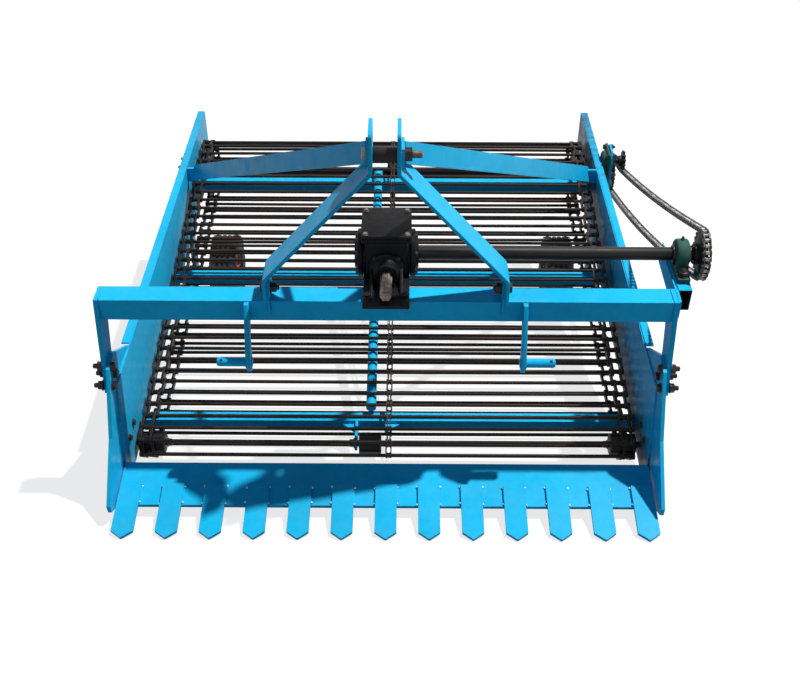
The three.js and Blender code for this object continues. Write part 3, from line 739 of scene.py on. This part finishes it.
web_shaft_low, web_shaft_high = box("web_shaft")
drive_parts = [
    turned_x([(17, web_shaft_low.x), (18, web_shaft_low.x + 2), (18, web_shaft_high.x - 2),
              (16.5, web_shaft_high.x)], 28),
    turned_x([(32, chain_x - 22), (32, chain_x + 3)], 28),
    drive_sprocket(DRIVE_TEETH),
]
for x in (-side_chain_x, MID_CHAIN_X, side_chain_x):
    drive_parts.append(toothed(WEB_TEETH, WEB_REAR_R - 9, x - 6, x + 6, 5.0, first_gap=0.2))
    drive_parts.append(turned_x([(34, x - 24), (34, x + 24)], 28))
piece("web_shaft_detail", at_shaft(drive_parts, web_shaft), SHAFT_STEEL, "dark_steel", "web_shaft")

tensioner = beside(0, centre("tensioner_bearing"))
tensioner_low, tensioner_high = box("tensioner")
tension_parts = [
    turned_x([(13, tensioner_low.x), (13, tensioner_high.x - 2), (11.5, tensioner_high.x)], 24),
    turned_x([(22, chain_x - 18), (22, chain_x - 2)], 24),
    drive_sprocket(TENSIONER_TEETH, first_gap=math.radians(-107)),
]
piece("tensioner_detail", at_shaft(tension_parts, tensioner), SHAFT_STEEL, "dark_steel", "tensioner")


# ---- drive chain
SAG = (14, 0, 30)  # of the chain's spans, from the front sprocket on

drive = Belt([(CROSS_SHAFT.y, CROSS_SHAFT.z, pitch_radius(DRIVE_TEETH), 1),
              (tensioner.y, tensioner.z, pitch_radius(TENSIONER_TEETH), -1),
              (web_shaft.y, web_shaft.z, pitch_radius(DRIVE_TEETH), 1)])
link_count = 2 * round(drive.length / CHAIN_PITCH / 2)
drive_points = [drive.at(k * drive.length / link_count, SAG) for k in range(link_count)]
chain_parts, roller_parts = [], []
for k in range(link_count):
    a, b = drive_points[k], drive_points[(k + 1) % link_count]
    inner = 7.6 if k % 2 else 10.5
    for side in (-1, 1):
        x = chain_x + side * inner
        chain_parts.append(link_plate(a, b, x - 1.3, x + 1.3, 8.8, 6.6, 4))
    roller_parts.append(cross_bar(chain_x - 6.2, chain_x + 6.2, a, 5.9, 9))
    roller_parts.append(cross_bar(chain_x - 13.6, chain_x + 13.6, a, 3.2, 7))
piece("drive_chain_links", chain_parts, CHAIN_STEEL, "dark_steel", "drive_chain")
# rollers in light steel: painted highlight along the chain
piece("drive_chain_rollers", roller_parts, ROLLER_HIGHLIGHT_STEEL, "dark_steel")


# ---- gearbox
def black_bolts(name, parts, body="frame"):
    piece(name, parts, BOLT_BLACK, "dark_steel", body=body)


BOX_FRONT, BOX_REAR, BOX_HALF, BOX_TOP = 105.0, 262.0, 66.0, 155.0
COVER_HALF = 74.0
gear_parts = [
    rounded(slab(-68, 68, -38, BOX_REAR - 2, 0.5, 14), 3),
    rounded(slab(-BOX_HALF + 4, BOX_HALF - 4, BOX_FRONT, BOX_REAR - 4, 12, BOX_TOP - 20), 12, 4),
    rounded(slab(-COVER_HALF + 2, COVER_HALF - 2, BOX_FRONT - 1, BOX_REAR - 3,
                 BOX_TOP - 24, BOX_TOP - 11), 3),
    rounded(slab(-COVER_HALF, COVER_HALF, BOX_FRONT - 2, BOX_REAR - 2, BOX_TOP - 10, BOX_TOP), 2.5),
]
FLANGE = ((63, 0), (63, 8), (70, 9), (72, 11), (72, 21), (69, 24), (50, 24), (46, 28), (44, 33),
          (30, 33), (28, 30))
NOSE = ((56, -40), (56, -8), (50, -6), (50, 6), (46, 9), (40, 14), (37, 26), (37, 44), (34, 47),
        (27, 47), (26, 43), (21, 43))
for side in (-1, 1):
    gear_parts.append(turned_at(CROSS_SHAFT + X * side * (BOX_HALF - 4), X * side, FLANGE, 48))
gear_parts.append(turned_at((0, BOX_FRONT - 4, SHAFT_Z), -Y, NOSE, 44))
for side in (-1, 1):
    gear_parts.append(rounded(side_prism(
        [(BOX_FRONT + 4, 12), (8, 12), (BOX_FRONT + 4, 62)], side * 44 - 5, side * 44 + 5), 2))
    gear_parts.append(rounded(slab(side * 54 - 12, side * 54 + 12, -30, 30, 10, 17), 3))
piece("gearbox_casting", gear_parts, GEARBOX, "gearbox_paint", "gearbox")

FLANGE_BOLTS_R, NOSE_BOLTS_R = 60, 47
gear_bolts, bright_bolts = [], []
for side in (-1, 1):
    for y in (BOX_FRONT + 12, BOX_REAR - 16):
        bright_bolts += bolt_head(Vector((side * (COVER_HALF - 13), y, BOX_TOP)), Z, 8)
    for i in range(6):
        a = math.pi / 6 + i * math.pi / 3
        arm = Vector((side * (BOX_HALF + 20), *polar(FLANGE_BOLTS_R, a)))
        gear_bolts += bolt_head(CROSS_SHAFT + arm, X * side, 9)
    for y in (8, BOX_REAR - 8):
        gear_bolts += bolt_head(Vector((side * 54, y, 15 if y < 50 else 14)), Z, 12)
for i in range(4):
    a = math.pi / 4 + i * math.pi / 2
    x, z = polar(NOSE_BOLTS_R, a)
    gear_bolts += bolt_head(Vector((x, BOX_FRONT - 9, SHAFT_Z + z)), -Y, 7)
black_bolts("gearbox_bolts", gear_bolts)
piece("gearbox_cover_bolts", bright_bolts, BOLT_BARE, "bare_steel")


def splined(z0, z1, z2):
    """Six-spline input shaft with a chamfered tip, drawn along local Z."""
    sections = []
    for z, scale in ((z0, 1.0), (z1 - 5, 1.0), (z1, 0.88)):
        ring = []
        for i in range(6):
            for turn, r in ((-0.30, 14.6), (-0.22, 17.3), (0.0, 17.4), (0.22, 17.3), (0.30, 14.6)):
                ring.append((*polar(r * scale, (i + turn) * math.pi / 3), z))
        sections.append(ring)
    neck = turned([(17, z2), (17, z0 + 1)], 32)
    return [rings(sections), neck, turned([(6, z1 - 1), (4.5, z1 + 0.4)], 16)]


PTO_BACK = 92.0  # rear end of the input shaft, inside the gearbox's nose
pto = [moved(p, aimed((0, PTO_BACK, SHAFT_Z), -Y)) for p in splined(30, PTO_BACK - PTO_END - 0.4, 0)]
piece("pto_splines", pto, SPLINE_STEEL, "bare_steel", "pto_shaft", body="pto_drive")


# ---- bearings
def pillow(at, half_length, width, height):
    """Cast pillow block standing on a point, its bore along x at a height."""
    outline = [(-half_length, 0), (half_length, 0), (half_length, 15), (half_length - 30, 17),
               (42, 30), (30, 40), (-30, 40), (-42, 30), (-half_length + 30, 17), (-half_length, 15)]
    w = width / 2
    body = rounded(side_prism(outline, -w, w), 3, 3)
    ring = turned_at((0, 0, height), X, [(43, 1 - w), (46, 5 - w), (46, w - 5), (43, w - 1), (34, w),
                                         (33, w - 5)], 44)
    back = turned_at((0, 0, height), -X, [(33, w - 8), (34, w)], 44)
    cap = turned_at((0, 8, height + 44), Z, [(6, 0), (6, 5), (4, 6), (4, 11), (2, 13)], 12)
    return at_shaft((body, ring, back, cap), at)


block_x = centre("pillow_block").x
PILLOW_Z = 0.4  # foot of the block, just over the stub tube
pillow_at = Vector((block_x, CROSS_SHAFT.y, PILLOW_Z))
piece("pillow_casting", pillow(pillow_at, 85.5, 38, SHAFT_Z - PILLOW_Z), GREEN, "bearing_paint",
      "pillow_block")
INSERT = ((30, 0), (31, 1), (31, 3), (27, 4), (27, 11), (25.5, 12.5))
insert = [turned_at(beside(block_x + side * 15, CROSS_SHAFT), X * side, INSERT, 36)
          for side in (-1, 1)]
piece("pillow_insert", insert, CHAIN_STEEL, "bare_steel")
pillow_bolts = []
for dy in (-64, 64):
    pillow_bolts += nut(Vector((block_x, CROSS_SHAFT.y + dy, 15.5)), Z, 16, 0.5)
black_bolts("pillow_bolts", pillow_bolts)


def square_bearing(shaft, half, face_x, out, bore_r):
    """Four-bolt flanged bearing against a plate face at face_x, on the side away from out."""
    plate = rounded(side_prism([(-half, -half), (half, -half), (half, half), (-half, half)], 0, 12), 6, 3)
    boss = turned_x([(half - 10, 8), (half - 13, 24), (half - 18, 28), (bore_r + 8, 28),
                     (bore_r + 7, 25)], 40)
    parts = [plate, boss]
    if out > 0:
        parts = [moved(p, Matrix.Rotation(math.pi, 4, "Z")) for p in parts]
    return at_shaft(parts, beside(face_x, shaft))


plate_in = box("web_bearing_right")[1].x
plate_out = box("web_bearing_bracket_right")[1].x
for side, name in LEFT_RIGHT:
    parts = square_bearing(web_shaft, 48, side * plate_in, side, 18)
    piece(f"web_bearing_casting_{name}", parts, GREEN, "bearing_paint", f"web_bearing_{name}")
piece("tensioner_casting", square_bearing(tensioner, 54, plate_in, 1, 13), GREEN, "bearing_paint",
      "tensioner_bearing")
bearing_bolts = []
for shaft, half, sides in ((web_shaft, 36, (-1, 1)), (tensioner, 41, (1,))):
    for side in sides:
        for dy in (-half, half):
            for dz in (-half, half):
                at = shaft + Vector((0, dy, dz))
                bearing_bolts += nut(beside(side * plate_out, at), X * side, 12)
                bearing_bolts += bolt_head(beside(side * (plate_in - 12), at), -X * side, 12)
black_bolts("bearing_bolts", bearing_bolts)

# ---- frame bolts
POST_BOLTS = ((-40, -216), (-28, -254), (-66, -270))  # (y, z) through post and cheek
IDLER_BOLTS = ((26, -509), (-35, -519))  # (y, z) through the side sheets
FOOT_BOLT = (30, 29)  # (y, z) through mast foot and lug
LEG_BOLTS_Z = (-348, -392)
cheek_in = box("cheek_right")[0].x
frame_bolts = []
for side in (-1, 1):
    for y, z in POST_BOLTS:
        frame_bolts += nut(Vector((side * post_out, y, z)), X * side, 16, 0.75)
        frame_bolts += bolt_head(Vector((side * cheek_in, y, z)), -X * side, 16)
mast_low, mast_high = box("mast_bar_right")
lug_low, lug_high = box("mast_lug_right")
for side in (-1, 1):
    frame_bolts += bolt_head(Vector((side * mast_high.x, *FOOT_BOLT)), X * side, 18)
    frame_bolts += nut(Vector((side * lug_low.x, *FOOT_BOLT)), -X * side, 18, 0.4)
leg_out = box("wheel_leg_right")[1].x
wheel_at = centre("tyre_right")
for side in (-1, 1):
    for dy in (-26, 26):
        for z in LEG_BOLTS_Z:
            frame_bolts += nut(Vector((side * leg_out, wheel_at.y + dy, z)), X * side, 14, 0.5)
    axle_end = beside(side * (wheel_at.x - 53.5), wheel_at)
    frame_bolts.append(moved(hex_block(38, 0, 14, 2.0), aimed(axle_end, -X * side)))
for side in (-1, 1):
    for y, z in IDLER_BOLTS:
        frame_bolts += bolt_head(Vector((side * sheet_in, y, z)), -X * side, 12)
black_bolts("frame_bolts", frame_bolts)

spacer = centre("mast_spacer")
MAST_T = 10.5
TAB_OUT = mast_low.x + MAST_T + 8.3  # outer face of the rear braces' tabs
black_bolts("mast_bolt_nut", nut(beside(TAB_OUT, spacer), X, 21, 0.1))
bolt_end = [moved(thread(10.5, 18, 48), aimed(beside(TAB_OUT, spacer), X)),
            moved(hex_block(33, 0, 10.5), aimed(beside(-TAB_OUT, spacer), -X, 0.3))]
piece("mast_bolt_end", bolt_end, BOLT_BARE, "bare_steel")

# ---- mast bars
MAST_Y = (mast_low.y + mast_high.y) / 2
MAST_HALF = (mast_high.y - mast_low.y) / 2
FOOT_X, EAR_X = mast_high.x - MAST_T / 2, mast_low.x + MAST_T / 2
BEND_Z, ELBOW_Z, BEND_R = 82.0, 430.0, 20
EAR_CORNER = 12.0
EAR_ARC = [math.radians(a) for a in range(15, 91, 15)]
TOP_LINK_Z, TOP_LINK_R = 516.0, 12.7


def rounded_line(points, radius, steps=6):
    """A line of (a, b) points with its corners turned into arcs."""
    result = [points[0]]
    for before, corner, after in zip(points, points[1:], points[2:]):
        corner = Vector(corner)
        way_in = (Vector(before) - corner).normalized()
        way_out = (Vector(after) - corner).normalized()
        reach = radius / math.tan(way_in.angle(way_out) / 2)
        for i in range(steps + 1):
            t = i / steps
            a = corner + way_in * reach * (1 - t)
            b = corner + way_out * reach * t
            result.append(tuple(a.lerp(b, t)))
    return result + [points[-1]]


def strip(points, widths):
    """A flat bar bent along a line in the x-z plane, with half its y size at each point."""
    sections = []
    t = MAST_T / 2
    for i, (point, w) in enumerate(zip(points, widths)):
        ahead = Vector(points[min(i + 1, len(points) - 1)])
        way = (ahead - Vector(points[max(i - 1, 0)])).normalized()
        out = Vector((way.y, -way.x))
        e = min(1.6, w * 0.4)
        ring = []
        for a, b in ((-t + e, -w), (t - e, -w), (t, -w + e), (t, w - e), (t - e, w), (-t + e, w),
                     (-t, w - e), (-t, -w + e)):
            ring.append((point[0] + out.x * a, MAST_Y + b, point[1] + out.y * a))
        sections.append(ring)
    return rings(sections)


for side, name in LEFT_RIGHT:
    ear_z = mast_high.z - EAR_CORNER
    line = rounded_line([(FOOT_X, mast_low.z), (FOOT_X, BEND_Z), (EAR_X, ELBOW_Z), (EAR_X, ear_z)], BEND_R)
    widths = [MAST_HALF] * len(line) + [MAST_HALF - EAR_CORNER * (1 - math.cos(a)) for a in EAR_ARC]
    line += [(EAR_X, ear_z + EAR_CORNER * math.sin(a)) for a in EAR_ARC]
    bent = strip([(side * x, z) for x, z in line], widths)
    hole = cross_bar(side * (EAR_X - 20), side * (EAR_X + 20), (MAST_Y, TOP_LINK_Z), TOP_LINK_R, 28)
    piece(f"mast_strip_{name}", [drilled(bent, [hole])], PAINT, "blue_paint", f"mast_bar_{name}")

# ---- lower hitch arms
PIN_AT = Vector((0, -62, -178))
PIN_R = 14.0
ARM_OUT = 412.5  # outer face of each arm, where the pin's shoulder is
ARM_T = 14.0
pin_length = box("hitch_arm_right")[1].x - ARM_OUT
ARM_OUTLINE = [(-0.3, -2), (-0.3, -68), (-30, -120), (-40, -198), (-46, -205), (-66, -209),
               (-74, -205), (-90, -178), (-92, -170), (-18, -2)]
for side, name in LEFT_RIGHT:
    low, high = sorted((side * (ARM_OUT - ARM_T), side * ARM_OUT))
    plate = rounded(side_prism(ARM_OUTLINE, low, high), 2.0)
    pin_profile = [(PIN_R, -17), (PIN_R, pin_length - 6), (PIN_R - 2, pin_length - 2),
                   (PIN_R - 6, pin_length)]
    start = beside(side * ARM_OUT, PIN_AT)
    pin_part = turned_at(start, X * side, pin_profile, 32)
    across = Vector((0, 0.6, -1)).normalized()
    hole_at = start + X * side * (pin_length - 14)
    pin_part = drilled(pin_part, [bar(hole_at - across * 30, hole_at + across * 30, 5.0, 20)])
    collar = tube_along([start + Vector((side * 1.5, *polar(15, i * math.pi / 10)))
                         for i in range(20)], 2.4, 6)
    piece(f"hitch_arm_detail_{name}", [plate, pin_part, collar], PAINT, "blue_paint",
          f"hitch_arm_{name}")

# ---- middle idler
PLATE_IN, PLATE_OUT = -108.0, -98.0
AXLE_R = 10
tube = box("cross_tube_front")[0]
roller = [turned_at(beside(-93, web_front), X, [(32, 0), (35.5, 2), (35.5, 71), (32, 73)], 32),
          bar(beside(PLATE_IN - 4, web_front), beside(-16, web_front), AXLE_R, 16)]
piece("idler_roller", roller, SHAFT_STEEL, "dark_steel", "idler_middle")
hanger = [rounded(slab(PLATE_IN, PLATE_OUT, web_front.y - 18, tube.y - 0.3,
                       web_front.z - 18, web_front.z + 18), 3)]
for near, far in ((PLATE_IN, -156), (-10, 44)):
    wing = [(near, tube.y - 0.4), (far, tube.y - 0.4), (near, tube.y - 40)]
    hanger.append(prism(wing, tube.z + 22, tube.z + 28))
piece("idler_hanger", hanger, PAINT, "blue_paint")
idler_nuts = nut(beside(PLATE_IN, web_front), -X, 16, 0.3)
ROLLER = ((10, 0), (10, 6), (31, 6), (35.5, 8), (35.5, 88), (31, 90), (12, 90))
for side, name in LEFT_RIGHT:
    low, high = box(f"idler_{name}")
    inner_x = low.x if side > 0 else -high.x
    at = beside(side * inner_x, web_front)
    parts = [turned_at(at, X * side, ROLLER, 32),
             bar(at, beside(side * (sheet_in - 0.3), web_front), AXLE_R, 16)]
    piece(f"idler_roller_{name}", parts, SHAFT_STEEL, "dark_steel", f"idler_{name}")
    idler_nuts += nut(at, -X * side, 14, 0.2)
black_bolts("idler_nuts", idler_nuts)

# ---- wheels
WHEEL_W = 116.0
TREAD_LUGS = 28
RIM_BOLTS_R = 46


def tyre_parts(r):
    """A tyre of outer radius r about the x axis, with three grooves round its tread."""
    w = WHEEL_W / 2
    half = [(84, -w + 12), (90, -w + 4), (104, -w + 1), (122, -w), (r - 16, -w + 2), (r - 8, -w + 7),
            (r - 3, -w + 14), (r - 1, -w + 22)]
    tread = []
    for groove in (-21, 0, 21):
        tread += [(r - 0.4, groove - 5.5), (r - 6, groove - 3.5), (r - 6, groove + 3.5),
                  (r - 0.4, groove + 5.5)]
    profile = half + tread + [(a, -b) for a, b in reversed(half)]
    return [moved(ring_turned(profile, 56), aimed((0, 0, 0), X))]


def tyre_lugs(r):
    """Slanted blocks along both shoulders of the tyre."""
    lugs = []
    for i in range(TREAD_LUGS):
        a = i * 2 * math.pi / TREAD_LUGS
        for side in (-1, 1):
            block = rounded(slab(-11, 11, -6, 6, -4, 0.0), 1.5, 1)
            place = (Matrix.Rotation(a + side * 0.03, 4, "X")
                     @ Matrix.Translation((side * 45, 0, r - 0.2)) @ Matrix.Rotation(side * 0.18, 4, "Y"))
            lugs.append(moved(block, place))
    return lugs


def rim_parts():
    """Rim, its disc and its hub about the x axis."""
    w = WHEEL_W / 2
    profile = [(70, -w + 24), (76, -w + 13), (83.5, -w + 12), (83.5, -w + 16), (79, -w + 22),
               (78, 0), (79, w - 22), (83.5, w - 16), (83.5, w - 12), (76, w - 13), (70, w - 24),
               (68, 8), (68, -8)]
    disc = [(24, -4), (66, -4), (69, -8), (69, 8), (66, 1), (24, 1)]
    hub = [(14.2, -w + 6), (26, -w + 6), (28, -w + 10), (28, w - 10), (26, w - 6), (14.2, w - 6)]
    return [moved(ring_turned(p, 44), aimed((0, 0, 0), X)) for p in (profile, disc, hub)]


for side, name in LEFT_RIGHT:
    hub_at = centre(f"tyre_{name}")
    low, high = box(f"tyre_{name}")
    radius = (high.z - low.z) / 2
    piece(f"tyre_tread_{name}", at_shaft(tyre_parts(radius) + tyre_lugs(radius), hub_at), RUBBER,
          "tyre", f"tyre_{name}", body=f"wheel_{name}")
    piece(f"rim_dish_{name}", at_shaft(rim_parts(), hub_at), RIM_RED, "rim_paint",
          f"rim_{name}", body=f"wheel_{name}")
    wheel_bolts = []
    for i in range(4):
        a = math.pi / 4 + i * math.pi / 2
        for way in (-1, 1):
            face = 1.0 if way > 0 else -4.0
            wheel_bolts += bolt_head(hub_at + Vector((face, *polar(RIM_BOLTS_R, a))), X * way, 10)
    black_bolts(f"rim_bolts_{name}", wheel_bolts, f"wheel_{name}")

# ---- welds
SHARE_SLOPE = math.radians(9.5)
SHARE_TOP = Vector((0, -115, -549))  # rear edge of the share's top face
FINGERS = 13
FINGER_W = 66.0
FINGER_START, SHARE_LENGTH = 84.0, 157.0  # down the slope from the rear edge


def on_share(x, d, lift):
    """Point a distance down the share's slope, lifted off its face."""
    return Vector((x, SHARE_TOP.y - d * math.cos(SHARE_SLOPE) - lift * math.sin(SHARE_SLOPE),
                   SHARE_TOP.z - d * math.sin(SHARE_SLOPE) + lift * math.cos(SHARE_SLOPE)))


welds, tacks = [], []


def bead(start, end, radius):
    welds.append(weld(start, end, radius))


finger_spread = 2 * (sheet_in + 0.3) - FINGER_W - 2
for i in range(FINGERS):
    x = finger_spread * (i / (FINGERS - 1) - 0.5)
    for side in (-1, 1):
        edge = x + side * (FINGER_W / 2 + 0.6)
        if abs(edge) < sheet_in - 4:
            bead(on_share(edge, FINGER_START + 4, 0.8), on_share(edge, SHARE_LENGTH - 3, 0.8), 3.0)
            for d in (FINGER_START + 8, SHARE_LENGTH - 6):
                at = on_share(edge + side * 1.5, d + random.uniform(-4, 4), 3.0)
                tacks.append(spatter(at, random.uniform(2.8, 4.6)))
for side in (-1, 1):
    x = side * (sheet_in - 1.2)
    bead(on_share(x, 6, 1.2), on_share(x, SHARE_LENGTH - 4, 1.2), 3.6)
    bead((side * (post_in - 0.5), 1.5, -66), (side * (post_in - 0.5), 1.5, -2), 3.2)
    bead((side * (post_in - 0.5), 4, 0.6), (side * (post_in - 0.5), 66, 0.6), 3.2)
    for x in (ARM_OUT - ARM_T - 0.2, ARM_OUT + 0.2):
        bead((side * x, -0.8, -66), (side * x, -0.8, -4), 3.0)
    for lug_x in (lug_low.x, lug_high.x):
        bead((side * lug_x, -0.8, -40), (side * lug_x, -0.8, -4), 2.6)
        bead((side * lug_x, 6, 0.7), (side * lug_x, 62, 0.7), 2.6)
bracket_x = box("bearing_bracket")[0].x
bead((bracket_x - 0.3, 2, -1), (bracket_x - 0.3, 66, -1), 3.4)
stub_x = box("bearing_stub")[0].x
bead((stub_x, 68, 0.5), (stub_x, 318, 0.5), 2.6)
for name in ("front", "middle", "rear"):
    low, high = box(f"cross_tube_{name}")
    for side in (-1, 1):
        x = side * (sheet_in - 1.0)
        bead((x, low.y + 2, high.z + 0.4), (x, high.y - 2, high.z + 0.4), 3.0)
        bead((x, low.y - 0.4, low.z + 2), (x, low.y - 0.4, high.z - 2), 3.0)
for side in (-1, 1):
    bead((side * cheek_in, -20, -281), (side * cheek_in, 140, -294), 2.6)
piece("weld_beads", welds, PAINT, "blue_paint", smooth_angle=60)
# near-white tacks: painted highlight on small welds
piece("weld_tacks", tacks, TACK_HIGHLIGHT, "bare_steel", smooth_angle=60)

# ---- floor, light and camera
FLOOR_GREY = 0.26
FLOOR_GLOW = 0.78  # lifts the floor toward white for rays that only look at it
WORLD_LEVEL = 0.18  # strength of the world for the rays that light the object


def looking(tree):
    """1 for camera, glossy and transmission rays, 0 for the rays that light the object."""
    rays = add_node(tree, "ShaderNodeLightPath")
    seen = rays.outputs["Is Camera Ray"]
    for kind in ("Is Glossy Ray", "Is Transmission Ray"):
        seen = add_node(tree, "ShaderNodeMath", {0: seen, 1: rays.outputs[kind]},
                        operation="MAXIMUM").outputs[0]
    return seen


floor_mesh = bpy.data.meshes.new("floor")
floor_mesh.from_pydata([(-30, -30, 0), (30, -30, 0), (30, 30, 0), (-30, 30, 0)], [], [(0, 1, 2, 3)])
floor = linked("floor", floor_mesh)
ground = Finish("floor")
ground.set(base_color=rgb(FLOOR_GREY, FLOOR_GREY, FLOOR_GREY), roughness=0.9, specular_ior_level=0.1,
           emission_color=rgb(1, 1, 1),
           emission_strength=ground.times(looking(ground.tree), FLOOR_GLOW))
floor_mesh.materials.append(ground.material)


def area_light(name, at, target, size, power, colour):
    data = bpy.data.lights.new(name, "AREA")
    data.shape = "DISK"
    data.size = size
    data.energy = power
    data.color = colour
    lamp = linked(name, data)
    lamp.location = at
    lamp.rotation_euler = (Vector(target) - Vector(at)).to_track_quat("-Z", "Y").to_euler()


area_light("key", (7.7, 0.25, 18.5), (0, -0.9, 0.3), 0.55, 4850, (1.0, 0.99, 0.97))
area_light("fill", (-4.5, -5.0, 4.0), (0, 0, 0.4), 4.0, 12, (0.95, 0.98, 1.0))

world = bpy.data.worlds.new("studio")
scene.world = world
world.use_nodes = True
tree = world.node_tree
background = tree.nodes["Background"]
seen = looking(tree)
level = add_node(tree, "ShaderNodeMapRange", {0: seen, 1: 0.0, 2: 1.0, 3: WORLD_LEVEL, 4: 1.0})
sky = add_node(tree, "ShaderNodeMix", {0: seen, 6: rgb(0.40, 0.64, 1.0), 7: rgb(1, 1, 1)},
               data_type="RGBA")
tree.links.new(sky.outputs[2], background.inputs["Color"])
tree.links.new(level.outputs[0], background.inputs["Strength"])

# Camera: above and in front of the hitch, looking down along the machine.
LENS, SENSOR = 47.4885, 36.0  # mm
DOWN, YAW, ROLL = math.radians(39.4), math.radians(-0.2), math.radians(0.15)
CAMERA_AT = Vector((49.5, -2453.4, 1834.3))
ahead = Vector((math.sin(YAW) * math.cos(DOWN), math.cos(YAW) * math.cos(DOWN), -math.sin(DOWN)))
right = Vector((math.cos(YAW), -math.sin(YAW), 0))
below = ahead.cross(right)
image_right = right * math.cos(ROLL) - below * math.sin(ROLL)
image_down = right * math.sin(ROLL) + below * math.cos(ROLL)
turn = Matrix((image_right, -image_down, -ahead)).transposed()
turn = TO_ROW.to_3x3().normalized() @ turn
camera_data = bpy.data.cameras.new("camera")
camera_data.sensor_width = SENSOR
camera_data.lens = LENS
camera_data.clip_end = 100
camera = linked("camera", camera_data)
camera.matrix_world = Matrix.Translation(TO_ROW @ CAMERA_AT) @ turn.to_4x4()
scene.camera = camera

scene.view_settings.view_transform = "Standard"
